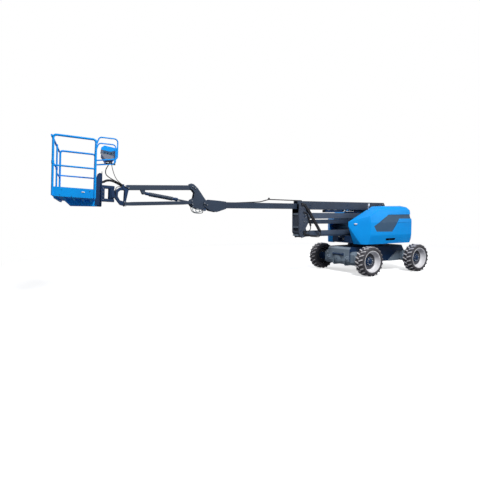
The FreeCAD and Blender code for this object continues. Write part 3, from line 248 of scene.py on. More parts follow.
def enamel(title, code, shade_code, dust, gloss, edge=0.35, specular=0.5):
    """Sprayed enamel: its colour, a deeper tone of it, how dusty it is, and its roughness."""
    mat, tree, shader, place = new_material(title, IOR=1.5, Specular_IOR_Level=specular)
    tone = ranged(tree, noise(tree, place, TONE_MM, 3.0), From_Min=0.35, From_Max=0.65)
    paint = mixed(tree, tone, hex_rgb(shade_code), hex_rgb(code))
    normal = add_node(tree, "ShaderNodeNewGeometry").outputs["Normal"]
    facing = add_node(tree, "ShaderNodeSeparateXYZ", Vector=normal)
    upward = ranged(tree, facing.outputs["Z"], From_Min=-0.2, From_Max=1.0, To_Min=0.15, To_Max=1.0)
    film = product(tree, noise(tree, place, DUST_MM, 5.0, Roughness=0.65), upward)
    dusty = mixed(tree, product(tree, film, dust), paint, hex_rgb("B9B4AA"))
    soft = add_node(tree, "ShaderNodeBevel", {"samples": 4}, Radius=EDGE_MM * MM)
    across = add_node(tree, "ShaderNodeVectorMath", {"operation": "DOT_PRODUCT"}, i0=soft.outputs[0], i1=normal)
    corner = ranged(tree, across.outputs["Value"], From_Min=0.99, From_Max=0.85)
    worn = mixed(tree, product(tree, corner, edge), dusty, hex_rgb("8E949E"), "SCREEN")
    rough = ranged(tree, film, To_Min=gloss, To_Max=gloss + 0.25)
    wired(tree, shader, rough, worn, noise(tree, place, ORANGE_PEEL_MM, 2.0), 0.12, 0.2)
    return mat


# %% [markdown]
# The hoods, rails and platform are azure enamel, baked hard and wiped clean: a clear, cold blue that keeps its
# strength because little of the white room shows in it. The booms wear a dark blue-grey satin enamel, the riser's
# arms a paler one and the castings a navy one. The chassis is a lighter grey-blue with far more road dust. The
# wheels' rims are light grey.

# %% Enamels
finish["azure_paint"] = enamel("azure baked enamel", "00A4FF", "009BF6", 0.0, 0.38, edge=0.06, specular=0.25)
finish["slate_paint"] = enamel("slate satin enamel", "365A7A", "315371", 0.04, 0.45, edge=0.2)
finish["boom_paint"] = enamel("blue-grey satin enamel", "25384F", "203046", 0.08, 0.42)
finish["arm_paint"] = enamel("pale blue-grey satin enamel", "445369", "3C4A5E", 0.10, 0.42)
finish["pivot_paint"] = enamel("grey satin enamel", "3B4659", "343E50", 0.08, 0.45)
finish["navy_paint"] = enamel("navy satin enamel", "12365F", "0F2E52", 0.03, 0.5, edge=0.2, specular=0.3)
finish["frame_paint"] = enamel("grey-blue chassis enamel", "8C9DAE", "7B8C9D", 0.15, 0.5)
finish["rim_paint"] = enamel("light grey wheel enamel", "ECEBEF", "DDDCE1", 0.12, 0.4)
# The charcoal below is not a paint of the wheel: it darkens the rim's deep disc and the dish's back as painted shade.
finish["hub_paint"] = enamel("charcoal wheel enamel", "3C3F4C", "32353F", 0.15, 0.5)
finish["weight_iron"] = enamel("slate enamel on cast iron", "2C3850", "263044", 0.12, 0.55)
print("enamels", len(finish))

# %% [markdown]
# A tyre of this kind is filled or solid natural rubber, black with carbon, matt, with ground-in dust on whatever
# touches the road. The lugs' tops are the palest part, the grooves the darkest. The distance from the wheel's own
# middle tells the tread from the side wall, so the tyre's pieces keep their origin at the hub.

# %% Tyre rubber
TREAD_START = 0.398      # metres from the axle, where the lugs stand clear of the carcass
TREAD_TOP = 0.417
DUST_GRAIN_MM = 9.0

finish["tyre_rubber"], tree, shader, place = new_material("carbon-black tyre rubber", IOR=1.52)
flat = add_node(tree, "ShaderNodeVectorMath", {"operation": "MULTIPLY"}, i0=place, i1=(1, 0, 1))
reach = add_node(tree, "ShaderNodeVectorMath", {"operation": "LENGTH"}, i0=flat.outputs[0])
grit = noise(tree, place, DUST_GRAIN_MM, 4.0)
tread = ranged(tree, reach.outputs["Value"], From_Min=TREAD_START, From_Max=TREAD_TOP, To_Min=0.05, To_Max=1.0)
amount = ranged(tree, product(tree, tread, grit), From_Min=0.0, From_Max=0.48)
colour = mixed(tree, amount, hex_rgb("2A2830"), hex_rgb("DEDBDF"))
wired(tree, shader, ranged(tree, amount, To_Min=0.62, To_Max=0.9), colour, grit, 0.35, 0.8)

# %% [markdown]
# A cylinder's rod is hard chrome, ground and polished: a metal, with very fine rings round it that a grinder
# leaves. Bolts and hose ends are zinc-plated steel, a duller, slightly blotched metal. Chrome keeps the default
# index of refraction, as a metal should, and its colour is that of the bare metal.

# %% Bare metals
RING_MM = 1.5            # grinding marks are finer than this, and drawn coarser so that they show
WAVE_TO_METRE = 20       # a wave texture repeats 20 times per unit of scale
BLOTCH_MM = 14.0

finish["bright_rod"], tree, shader, place = new_material("ground hard chrome", Metallic=1.0,
                                                         Base_Color=hex_rgb("D6D8DC"))
rings = add_node(tree, "ShaderNodeTexWave", {"bands_direction": "X"}, Vector=place,
                 Scale=1000 / RING_MM / WAVE_TO_METRE, Distortion=1.5, Detail=3.0)
wired(tree, shader, ranged(tree, rings.outputs["Fac"], To_Min=0.12, To_Max=0.24))

finish["zinc"], tree, shader, place = new_material("zinc-plated steel", Metallic=1.0)
blotch = noise(tree, place, BLOTCH_MM, 3.0)
wired(tree, shader, ranged(tree, blotch, To_Min=0.28, To_Max=0.5),
      mixed(tree, blotch, hex_rgb("9EA3A9"), hex_rgb("D2D4D6")))

# %% [markdown]
# The rest is plastic, hose rubber and plain castings. They differ in colour, grain and gloss only, so one loop
# makes them: moulded ABS has a fine spark-eroded grain, extruded hose rubber a smoother one, and a sand casting
# a coarse one that shows from a few metres away.

# %% Moulded, extruded and cast finishes
SLOW_MM = 120.0          # slow changes of tone in a moulding
GRAINED = {
    "grey_box": ("moulded grey ABS", "878C96", "7C818B", 1.2, 0.10, 0.5),
    "hose_grey": ("light grey thermoplastic hose", "8E959A", "7A8187", 4.0, 0.10, 0.4),
    "cable_black": ("black hose rubber", "1B1B20", "25252B", 6.0, 0.10, 0.45),
    "tank_fill": ("moulded navy polyethylene", "2E3846", "28313D", 3.0, 0.15, 0.55),
    "engine_iron": ("sand-cast engine iron", "33333A", "28282C", 5.0, 0.50, 0.6),
    "lens_white": ("frosted lamp lens", "F2F4F4", "E6EAEC", 8.0, 0.05, 0.2),
    "label_grey": ("anodised switch panel", "C3C8CC", "B4B9BE", 2.0, 0.05, 0.35),
}
for slot_name, (title, code, shade_code, grain_mm, strength, gloss) in GRAINED.items():
    finish[slot_name], tree, shader, place = new_material(title)
    grain = noise(tree, place, grain_mm, 3.0)
    colour = mixed(tree, noise(tree, place, SLOW_MM, 2.0), hex_rgb(shade_code), hex_rgb(code))
    rough = ranged(tree, grain, To_Min=gloss - 0.08, To_Max=gloss + 0.08)
    wired(tree, shader, rough, colour, grain, strength, 0.5)
print("finishes", len(finish))

# %% [markdown]
# ## Making a piece
# Each piece below is a list of points and faces. One function turns those into an object that rides on a body of
# the frame, with soft shading that still breaks at real edges. Others make the lists: an outline spun about the Y
# axis, a plate with an outline, or round rings along a line.


def painted(mesh, slot_name, crease):
    """Gives a mesh a finish and soft shading up to a crease angle in degrees."""
    mesh.materials.clear()
    mesh.materials.append(finish[slot_name])
    mesh.shade_smooth()
    mesh.set_sharp_from_angle(angle=math.radians(crease))


def held_object(name, mesh, slot_name, body, crease):
    """Object with a finished mesh that rides on a body."""
    painted(mesh, slot_name, crease)
    made = bpy.data.objects.new(name, mesh)
    scene.collection.objects.link(made)
    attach(made, body)
    return made


def piece(name, verts, faces, slot_name, body, crease):
    """Object from points and faces."""
    mesh = bpy.data.meshes.new(name)
    mesh.from_pydata([tuple(v) for v in verts], [], faces)
    mesh.validate()
    return held_object(name, mesh, slot_name, body, crease)


def edited(mesh, *steps):
    """Runs some bmesh steps on a mesh."""
    bm = bmesh.new()
    bm.from_mesh(mesh)
    for step in steps:
        step(bm)
    bm.to_mesh(mesh)
    bm.free()


def turned_out(bm):
    bmesh.ops.recalc_face_normals(bm, faces=bm.faces)


def bevelled(made, width_mm, angle=30.0, clamp=True):
    """Rounds the piece's sharp edges."""
    edge = made.modifiers.new("edges", "BEVEL")
    edge.width = width_mm * MM
    edge.segments = 2
    edge.limit_method = "ANGLE"
    edge.angle_limit = math.radians(angle)
    edge.use_clamp_overlap = clamp
    made.modifiers.new("normals", "WEIGHTED_NORMAL").keep_sharp = clamp
    return made


def gathered(parts):
    """Several lists of points and faces as one."""
    verts, faces = [], []
    for more, skin in parts:
        faces += [tuple(i + len(verts) for i in f) for f in skin]
        verts += more
    return verts, faces


def fitting(name, parts, slot_name, body, crease=30, round_mm=0.0):
    """Piece from several parts, its faces turned outward and its edges rounded."""
    made = piece(name, *gathered(parts), slot_name, body, crease)
    edited(made.data, turned_out)
    return bevelled(made, round_mm) if round_mm else made


def spun(section, steps):
    """Points and faces of a closed outline of (y, r) turned about the Y axis."""
    count = len(section)
    turns = [2 * math.pi * k / steps for k in range(steps)]
    verts = [(r * math.sin(a), y, r * math.cos(a)) for a in turns for y, r in section]
    faces = []
    for k in range(steps):
        n = (k + 1) % steps
        for i in range(count):
            j = (i + 1) % count
            faces.append((k * count + i, k * count + j, n * count + j, n * count + i))
    return verts, faces


def skin_between(start, count, steps):
    """Faces that join count + 1 rings of points, of which the first point has the number start."""
    return [(i + k, i + (k + 1) % steps, i + steps + (k + 1) % steps, i + steps + k)
            for i in range(start, start + count * steps, steps) for k in range(steps)]


def ringed(rings, steps, turn=0.0, hollow=False):
    """Points and faces of rings given as (centre, radius, one way across, the other way across)."""
    turns = [turn + 2 * math.pi * k / steps for k in range(steps)]
    verts = [centre + (a * math.cos(t) + b * math.sin(t)) * r for centre, r, a, b in rings for t in turns]
    last = len(verts) - steps
    if hollow:
        faces = [(last + k, last + (k + 1) % steps, (k + 1) % steps, k) for k in range(steps)]
    else:
        faces = [tuple(reversed(range(steps))), tuple(range(last, last + steps))]
    return verts, faces + skin_between(0, len(rings) - 1, steps)


def stacked(rings, way, steps, turn=0.0, bore=0.0):
    """Points and faces of rings of (centre, radius) along one line, with a hole of radius bore or none."""
    a = way.orthogonal().normalized()
    b = way.cross(a)
    if bore:
        rings = [(rings[0][0], bore), *rings, (rings[-1][0], bore)]
    return ringed([(centre, r, a, b) for centre, r in rings], steps, turn, bool(bore))


def round_bar(p, q, r, chamfer, steps=20):
    """Points and faces of a chamfered bar between two points."""
    p, q = Vector(p), Vector(q)
    way = (q - p).normalized()
    return stacked([(p, r - chamfer), (p + way * chamfer, r), (q - way * chamfer, r), (q, r - chamfer)], way, steps)


def six_sided(centre, axis, r, length, turn=0.0):
    """Points and faces of a chamfered six-sided head along an axis."""
    axis, centre = Vector(axis).normalized(), Vector(centre)
    return stacked([(centre, r), (centre + axis * length * 0.8, r), (centre + axis * length, r * 0.8)], axis, 6, turn)


def plate(outline, low, high, place=None, axis="y"):
    """Points and faces of a plate with an outline across an axis, between two planes, put in place by a matrix."""
    put = {"x": lambda p, d: (d, *p), "y": lambda p, d: (p[0], d, p[1]), "z": lambda p, d: (*p, d)}[axis]
    n = len(outline)
    verts = [Vector(put(p, d)) for d in (low, high) for p in outline]
    if place:
        verts = [place @ v for v in verts]
    faces = [tuple(range(n)), tuple(reversed(range(n, 2 * n)))]
    return verts, faces + [(i, n + i, n + (i + 1) % n, (i + 1) % n) for i in range(n)]


# %% [markdown]
# ## Tyres
# The tyres are the rough-terrain kind: two rows of thick slanted bars that start near the middle line, run out to
# the shoulder and wrap down the side wall. A texture could only hint at bars this deep, so each is its own solid,
# laid along a path over the shoulder with a slight S, and repeated round the wheel in two staggered rows. The
# carcass is an outline spun about the axle, with two moulded ribs on its side wall.

# %% Carcass and bars
BARS = 20
CARCASS = [(-0.125, 0.292), (-0.125, 0.309), (-0.137, 0.314), (-0.146, 0.326), (-0.1485, 0.336), (-0.1485, 0.340),
           (-0.146, 0.343), (-0.1475, 0.352), (-0.146, 0.362), (-0.138, 0.378), (-0.122, 0.390), (-0.100, 0.396),
           (-0.050, 0.398), (0.0, 0.3985)]
CARCASS = CARCASS + [(-y, r) for y, r in reversed(CARCASS[:-1])]
# Each step along a bar: distance from the middle line, radius of its top and of its foot, and how far it leans.
BAR_PATH = [(0.008, 0.4195, 0.388, 0.031), (0.040, 0.4195, 0.388, 0.022), (0.075, 0.4193, 0.388, 0.006),
            (0.105, 0.4185, 0.384, -0.004), (0.128, 0.4140, 0.376, -0.010), (0.142, 0.4040, 0.366, -0.016),
            (0.1492, 0.3880, 0.354, -0.022), (0.1494, 0.3700, 0.346, -0.027), (0.1470, 0.3580, 0.343, -0.029)]
BAR_TOP_HALF = 0.0165
BAR_FOOT_HALF = 0.0225


def tyre_mesh(side):
    """Points and faces of a tyre about the Y axis; side mirrors the slant."""
    parts = [spun(CARCASS, 96)]
    for row, stagger in ((1, 0.5), (-1, 0.0)):
        for turn in (2 * math.pi * (k + stagger) / BARS for k in range(BARS)):
            verts = []
            for y, top, foot, shift in BAR_PATH:
                for r, half in ((foot, -BAR_FOOT_HALF), (top, -BAR_TOP_HALF), (top, BAR_TOP_HALF),
                                (foot, BAR_FOOT_HALF)):
                    a = turn + (shift + half) / r
                    verts.append((r * math.sin(a), row * y, r * math.cos(a)))
            ends = [(3, 2, 1, 0), tuple(range(len(verts) - 4, len(verts)))]
            parts.append((verts, ends + skin_between(0, len(BAR_PATH) - 1, 4)))
    verts, faces = gathered(parts)
    return [(x, side * y, z) for x, y, z in verts], faces


CORNERS = {"front_left": 1, "front_right": -1, "rear_left": 1, "rear_right": -1}
at_hub = {corner: Matrix.Translation(sum(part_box("tyre_" + corner), Vector()) / 2) for corner in CORNERS}
for corner, side in CORNERS.items():
    tyre = piece("tyre_lugged_" + corner, *tyre_mesh(side), "tyre_rubber", "wheel_" + corner, 40)
    edited(tyre.data, turned_out)
    tyre.data.set_sharp_from_angle(angle=math.radians(40))
    tyre.matrix_world = at_hub[corner]
    bevelled(tyre, 3.0, 40)
    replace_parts(tyre, "tyre_" + corner)
print("tyre faces", len(tyre.data.polygons))

# %% [markdown]
# ## Rims and hubs
# The rim is a deep dish: a wide barrel with a disc far inside it, where it bolts to the hub. The hub carries nine
# wheel nuts and a domed cap, and the rim's edge is a rounded flange that holds the tyre's bead. Dish and hub are
# spun outlines; nuts are small six-sided solids.

# %% Dish, hub and nuts
DISH = [(-0.125, 0.3055), (-0.125, 0.2902), (0.125, 0.2902), (0.1255, 0.3050), (0.129, 0.3085), (0.1345, 0.3085),
        (0.1370, 0.3055), (0.1370, 0.2960), (0.1330, 0.2880), (0.1180, 0.2830), (0.0700, 0.2790), (0.0350, 0.2700),
        (0.0100, 0.2480), (-0.0020, 0.2280), (-0.0045, 0.2150), (-0.0045, 0.1250), (-0.0190, 0.1240),
        (-0.0190, 0.2200), (-0.0020, 0.2500), (0.0200, 0.2700), (-0.1180, 0.2770), (-0.1320, 0.2840),
        (-0.1370, 0.2960), (-0.1370, 0.3055)]
HUB = [(-0.069, 0.062), (-0.069, 0.117), (0.012, 0.1245), (0.030, 0.1190), (0.036, 0.1050), (0.036, 0.0620),
       (0.048, 0.0560), (0.058, 0.0380), (0.061, 0.0120), (0.061, 0.0), (0.019, 0.0), (0.019, 0.062)]
# Inside this radius, and on its back, the dish gets charcoal as painted shade of its deep recess.
SHADED_DISC_EDGE = 0.225        # inside this radius, and on its back, the dish is charcoal
SHADED_DISC_BACK = -0.004
WELD = 0.00005
NUTS = 9
NUT_R, NUT_H, NUT_FACE, NUT_RING = 0.016, 0.020, 0.034, 0.092


def welded(bm):
    bmesh.ops.remove_doubles(bm, verts=bm.verts, dist=WELD)


for corner, side in CORNERS.items():
    body = "wheel_" + corner
    for name, section, slot_name in (("rim_dish_", DISH, "rim_paint"), ("wheel_hub_", HUB, "navy_paint")):
        made = piece(name + corner, *spun([(side * y, r) for y, r in section], 72), slot_name, body, 40)
        edited(made.data, welded, turned_out)
        made.matrix_world = at_hub[corner]
        # The disc deep inside the dish and the dish's back get the charcoal: painted shade, not a second paint.
        if section is DISH:
            made.data.materials.append(finish["hub_paint"])
            for face in made.data.polygons:
                c = face.center
                if math.hypot(c.x, c.z) < SHADED_DISC_EDGE or side * c.y < SHADED_DISC_BACK:
                    face.material_index = 1
    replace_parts(made, "rim_" + corner)
    nuts = [six_sided((NUT_RING * math.sin(a), side * NUT_FACE, NUT_RING * math.cos(a)), (0, side, 0), NUT_R, NUT_H, a)
            for a in (2 * math.pi * k / NUTS for k in range(NUTS))]
    piece("wheel_nuts_" + corner, *gathered(nuts), "zinc", body, 20).matrix_world = at_hub[corner]
print("wheels", len(CORNERS), "nuts each", NUTS)


# %% [markdown]
# ## Hoods
# Each hood is one pressed and welded sheet shell with big flat planes that meet in soft, rounded creases. Its
# shape is the common part of three outlines: from the side, from above and from the front. Modelling it vertex by
# vertex would never keep the planes flat, so the three outlines are pushed through each other as solids, the
# creases are rounded, and a second body set a sheet's thickness further in is taken out. The dark panel sits in a
# shallow well cut by the outline of its own.

# %% Hood outlines
SHEET = 0.006
WELL = 0.014             # depth of the dark panel below the hood's face
CREASE_R_MM = 16.0
HOOD_SIDE = [(-0.916, 0.880), (0.992, 0.880), (1.250, 1.510), (0.250, 1.990), (-0.640, 2.008), (-0.800, 1.962),
             (-0.888, 1.870), (-0.900, 1.690), (-0.954, 1.510), (-0.980, 1.140)]
HOOD_PLAN = [(-0.980, 0.400), (-0.980, 0.800), (-0.920, 0.900), (0.830, 0.900), (1.250, 0.400)]
HOOD_CROSS = [(0.400, 0.880), (0.840, 0.880), (0.900, 1.140), (0.900, 1.510), (0.850, 1.880), (0.800, 1.970),
              (0.700, 2.010), (0.400, 2.010)]
PANEL = [(0.700, 1.400), (0.080, 1.735), (-1.100, 1.750), (-1.100, 1.620), (-0.390, 1.620), (-0.080, 1.235),
         (0.590, 1.245)]
GRIP_ENDS = (-0.200, 0.150)
GRIP_Z = 1.010
GRIP_R = 0.032
PAST = 0.060             # how far an open edge is carried past its place before it is cut back


def moved_in(outline, gap):
    """The outline with every side moved in by a gap, its corners kept sharp."""
    area = sum(a[0] * b[1] - b[0] * a[1] for a, b in zip(outline, outline[1:] + outline[:1]))
    side = 1 if area > 0 else -1
    moved = []
    for before, here, after in zip(outline[-1:] + outline[:-1], outline, outline[1:] + outline[:1]):
        a = (Vector(here) - Vector(before)).normalized()
        b = (Vector(after) - Vector(here)).normalized()
        na, nb = Vector((-a.y, a.x)) * side, Vector((-b.y, b.x)) * side
        moved.append(tuple(Vector(here) + (na + nb) * (gap / (1 + na.dot(nb)))))
    return moved


def prism(outline, axis, low, high):
    """Loose solid with an outline across one axis, between two planes."""
    verts, faces = plate(outline, low, high, axis=axis)
    mesh = bpy.data.meshes.new("tool")
    mesh.from_pydata([tuple(v) for v in verts], [], faces)
    edited(mesh, turned_out)
    made = bpy.data.objects.new("tool", mesh)
    scene.collection.objects.link(made)
    return made


def settled(made):
    """Makes the modifiers' result the object's own mesh."""
    made.data = bpy.data.meshes.new_from_object(made.evaluated_get(bpy.context.evaluated_depsgraph_get()))
    made.modifiers.clear()
    return made


def joined(base, tool, operation, keep=False):
    """The base cut, crossed or united with a tool, which is then thrown away unless it is kept."""
    step = base.modifiers.new("step", "BOOLEAN")
    step.operation = operation
    step.solver = "EXACT"
    step.object = tool
    settled(base)
    if not keep:
        bpy.data.objects.remove(tool)
    return base


# %% Hood solids
def hood_solid(inset, crease_mm):
    """The three outlines pushed through each other, with rounded creases and open edges carried past their place."""
    side = [(x, z - PAST if z < 0.9 else z) for x, z in moved_in(HOOD_SIDE, inset)]
    side.insert(2, (0.992 - inset, 0.880))
    side.append((-0.916 + inset, 0.880))
    plan = [(x, y - PAST if y < 0.5 else y) for x, y in moved_in(HOOD_PLAN, inset)]
    plan = [(plan[0][0], 0.30), *plan, (plan[-1][0], 0.30)]
    cross = [(y - PAST if y < 0.5 else y, z - PAST if z < 0.9 else z) for y, z in moved_in(HOOD_CROSS, inset)]
    cross.insert(2, (0.840 - inset, 0.880))
    solid = prism(side, "y", 0.2, 1.0)
    joined(solid, prism(plan, "z", 0.7, 2.2), "INTERSECT")
    joined(solid, prism(cross, "x", -1.2, 1.4), "INTERSECT")
    soft = solid.modifiers.new("creases", "BEVEL")
    soft.width = crease_mm * MM
    soft.segments = 3
    soft.limit_method = "ANGLE"
    soft.angle_limit = math.radians(6)
    return settled(solid)


def well_zone(grow):
    return prism(moved_in(PANEL, -grow), "y", 0.78, 1.0)


outer = joined(hood_solid(0.0, CREASE_R_MM),
               prism([(-1.2, 0.880), (1.4, 0.880), (1.4, 2.2), (-1.2, 2.2)], "y", 0.400, 1.1), "INTERSECT")
deep = hood_solid(WELL + SHEET, CREASE_R_MM - 8)
wall = joined(joined(well_zone(SHEET), well_zone(0.0), "DIFFERENCE"), outer, "INTERSECT", keep=True)
joined(wall, deep, "DIFFERENCE", keep=True)
panel = joined(hood_solid(WELL, CREASE_R_MM - 6), well_zone(0.0), "INTERSECT")
joined(panel, deep, "DIFFERENCE")
hood = joined(outer, hood_solid(SHEET, CREASE_R_MM - 3), "DIFFERENCE")
joined(hood, well_zone(0.0), "DIFFERENCE")
joined(hood, wall, "UNION")
grip = [(x + GRIP_R * math.cos(a), GRIP_Z + GRIP_R * math.sin(a))
        for x, start in zip(GRIP_ENDS, (math.pi / 2, -math.pi / 2))
        for a in (start + math.pi * k / 8 for k in range(9))]
joined(hood, prism(grip, "y", 0.80, 0.92), "DIFFERENCE")
print("hood faces", len(hood.data.polygons), "panel faces", len(panel.data.polygons))

# %% Both sides, with their hinges
SIDES = {"left": 1, "right": -1}
HINGES = (-0.560, -0.180, 0.050)
HINGE_HALF, HINGE_Y, HINGE_Z, HINGE_R, HINGE_BORE = 0.040, 0.385, 1.955, 0.017, 0.0105
STRAP = [(HINGE_Y, HINGE_Z + 0.004), (0.422, HINGE_Z + 0.004), (0.422, 2.000), (0.410, 2.000),
         (0.410, HINGE_Z + 0.014), (HINGE_Y, HINGE_Z + 0.014)]


def side_copy(source, name, side, slot_name, body, crease):
    """Left or mirrored right copy of a finished solid, as a piece."""
    verts = [(v.co.x, side * v.co.y, v.co.z) for v in source.data.vertices]
    return piece(name, verts, [tuple(p.vertices)[::side] for p in source.data.polygons], slot_name, body, crease)


for word, side in SIDES.items():
    body = "hood_" + word
    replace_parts(side_copy(hood, "hood_shell_" + word, side, "azure_paint", body, 28), "hood_" + word)
    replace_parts(side_copy(panel, "hood_well_panel_" + word, side, "slate_paint", body, 28), "hood_panel_" + word)
    parts = []
    for x in HINGES:
        ends = [(Vector((x + end, side * HINGE_Y, HINGE_Z)), HINGE_R) for end in (-HINGE_HALF, HINGE_HALF)]
        parts.append(stacked(ends, Vector((1, 0, 0)), 24, bore=HINGE_BORE))
        parts.append(plate([(side * y, z) for y, z in STRAP], x - HINGE_HALF, x + HINGE_HALF, axis="x"))
    fitting("hood_hinges_" + word, parts, "azure_paint", body, 30, 1.5)
bpy.data.objects.remove(hood)
bpy.data.objects.remove(panel)

# %% [markdown]
# ## Rounded steelwork
# Plates and tubes of the frame are exact but have knife edges. Real plate is dressed with a grinder, and box tube
# has rolled corners, and it is the thin highlight along such an edge that makes steel look thick. A copy of the
# node's mesh is cleaned of its triangles' inner lines and given a narrow rounded edge, and stands for the node.

# %% Rounded copies of the frame's nodes
CREASE_DEG = 32
ONE_POINT = 0.00015      # points nearer than this are one
FLAT_DEG = 0.6           # faces that turn less than this are one


def cleaned(bm):
    bmesh.ops.remove_doubles(bm, verts=bm.verts, dist=ONE_POINT)
    bmesh.ops.dissolve_limit(bm, angle_limit=math.radians(FLAT_DEG), verts=bm.verts, edges=bm.edges)


body_by_node = {node: body for body, members in frame["record"]["behaviour"]["bodies"].items() for node in members}
slot_by_node = {entry["node"]: entry["material_slot"] for entry in frame["record"]["subparts"]}
ROUNDED = {"chassis_frame": 4.0, "front_axle": 4.0, "rear_axle": 4.0, "turntable_deck": 2.0, "front_tray": 5.0,
           "counterweight": 14.0, "lower_arm": 3.0, "upper_arm": 3.0, "upper_link": 2.5, "lower_link": 2.0,
           "mid_pivot": 2.5, "upper_pivot": 2.5, "main_boom": 2.5, "fly_boom": 2.5, "bellcrank": 2.5,
           "jib_boom": 2.5, "jib_link": 2.5, "jib_head": 2.5, "platform_mount": 2.5, "engine_block": 12.0,
           "hydraulic_tank": 8.0, "ground_controls": 6.0}
for node, width_mm in ROUNDED.items():
    mesh = frame["nodes"][node].data.copy()
    edited(mesh, cleaned)
    made = held_object(node + "_dressed", mesh, slot_by_node[node], body_by_node[node], CREASE_DEG)
    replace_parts(made, node)
    bevelled(made, width_mm, CREASE_DEG, clamp=False)

# %% [markdown]
# Some of these are sprayed in two colours, or in a tone of their own. The chassis box is navy between grey-blue
# axles and their brackets, the mid pivot and the riser's arms are a shade paler than the booms, and the platform's
# carrier is azure where it runs under the floor. A plate that is one large face is first cut along the plane where
# its colour changes.

# %% Second colours
FLOOR_START, FLOOR_BELOW = 8.010, 2.10
FRAME_SIDE, FRAME_END = 0.451, 0.83


def second_colour(node, slot_name, chosen, cut_x=None):
    """Gives the faces whose middle is chosen a second finish, after a cut across the machine."""
    mesh = bpy.data.objects[node + "_dressed"].data
    if cut_x is not None:
        edited(mesh, lambda bm: bmesh.ops.bisect_plane(bm, geom=bm.verts[:] + bm.edges[:] + bm.faces[:],
                                                       plane_co=(cut_x, 0, 0), plane_no=(1, 0, 0)))
    mesh.materials.append(finish[slot_name])
    for face in mesh.polygons:
        if chosen(face.center):
            face.material_index = 1


second_colour("chassis_frame", "navy_paint", lambda c: abs(c.y) < FRAME_SIDE and c.x < FRAME_END)
for node, slot_name in (("lower_arm", "arm_paint"), ("upper_arm", "arm_paint"), ("mid_pivot", "pivot_paint")):
    second_colour(node, slot_name, lambda c: True)
second_colour("platform_mount", "azure_paint", lambda c: c.x > FLOOR_START and c.z < FLOOR_BELOW, FLOOR_START)
# The jib cylinder's rod is chrome; the booms' dark enamel on it is a painted dark reflection.
slot_by_node.update(platform_floor="azure_paint", jib_rod="boom_paint")
for node, made in frame["nodes"].items():
    painted(made.data, slot_by_node[node], CREASE_DEG)
print("rounded", len(ROUNDED))

# %% [markdown]
# ## Platform details
# The control box under the hoops is grey with an azure lid folded over its top. A black steel bar and a bracket
# hang from the tray's rods and hold the cables. The lid is a shell that follows the box's own outline, so its
# points are given beside that outline, in the platform's own level frame, and then turned and tipped as parked.

# %% Platform's parked place
ROTOR = Vector((7.709153, 0.0, 2.1915))
TIPPED_DEG, TURNED_DEG = 3.1, 4.3
parked = (Matrix.Translation(ROTOR) @ Matrix.Rotation(-math.radians(TIPPED_DEG), 4, "Y")
          @ Matrix.Rotation(-math.radians(TURNED_DEG), 4, "Z") @ Matrix.Translation(-ROTOR))
PLAT_REAR, FLOOR_LOW = 8.040153, 2.021


def on_platform(points):
    """Points measured from the floor's rear lower edge, in the machine's frame."""
    return [(PLAT_REAR + a, FLOOR_LOW + b) for a, b in points]


# %% Control box
BOX_HALF = 0.230
LID = [(-0.378, 1.060), (-0.377, 1.112), (-0.169, 1.138), (-0.110, 1.092), (-0.104, 1.050), (-0.098, 1.052),
       (-0.103, 1.098), (-0.166, 1.146), (-0.384, 1.119), (-0.385, 1.060)]
LID_SIDE = [(-0.385, 1.060), (-0.384, 1.119), (-0.166, 1.146), (-0.103, 1.098), (-0.098, 1.052), (-0.280, 1.030)]
SIDE_PLATE = [(-0.350, 0.955), (-0.352, 1.040), (-0.135, 1.060), (-0.130, 0.985)]
SWITCHES = [(-0.30, 1.00), (-0.24, 1.005), (-0.18, 1.01)]

parts = [plate(on_platform(LID), -BOX_HALF - 0.006, BOX_HALF + 0.006, parked)]
parts += [plate(on_platform(LID_SIDE), y, y + 0.006, parked) for y in (-BOX_HALF - 0.007, BOX_HALF + 0.001)]
fitting("control_lid", parts, "azure_paint", "platform", round_mm=1.5)
fitting("control_side_plate", [plate(on_platform(SIDE_PLATE), BOX_HALF, BOX_HALF + 0.003, parked)], "slate_paint",
        "platform")
knobs = [round_bar(parked @ Vector((x, BOX_HALF + 0.003, z)), parked @ Vector((x, BOX_HALF + 0.026, z)), 0.011, 0.003)
         for x, z in on_platform(SWITCHES)]
fitting("control_switches", knobs, "cable_black", "platform")

# %% Cable bar and bracket under the controls
BAR = [(-0.390, 0.768), (-0.390, 0.798), (-0.195, 0.798), (-0.195, 0.768)]
HANGER = [(-0.300, 0.794), (-0.285, 0.930), (-0.250, 0.930), (-0.262, 0.794)]
fitting("cable_bar", [plate(on_platform(BAR), 0.170, 0.225, parked), plate(on_platform(HANGER), 0.185, 0.210, parked)],
        "cable_black", "platform", round_mm=3.0)

# %% [markdown]
# ## Pins, keepers and bolts
# Every joint turns on a steel pin, which a small keeper plate and two bolts stop from turning. On the photograph
# they are the light specks on dark steel. Heads are six-sided with a chamfer, and sit on the plate that the pin
# goes through. A pin's place is its joint's own (x, z), with the distance of that plate's face from the middle.

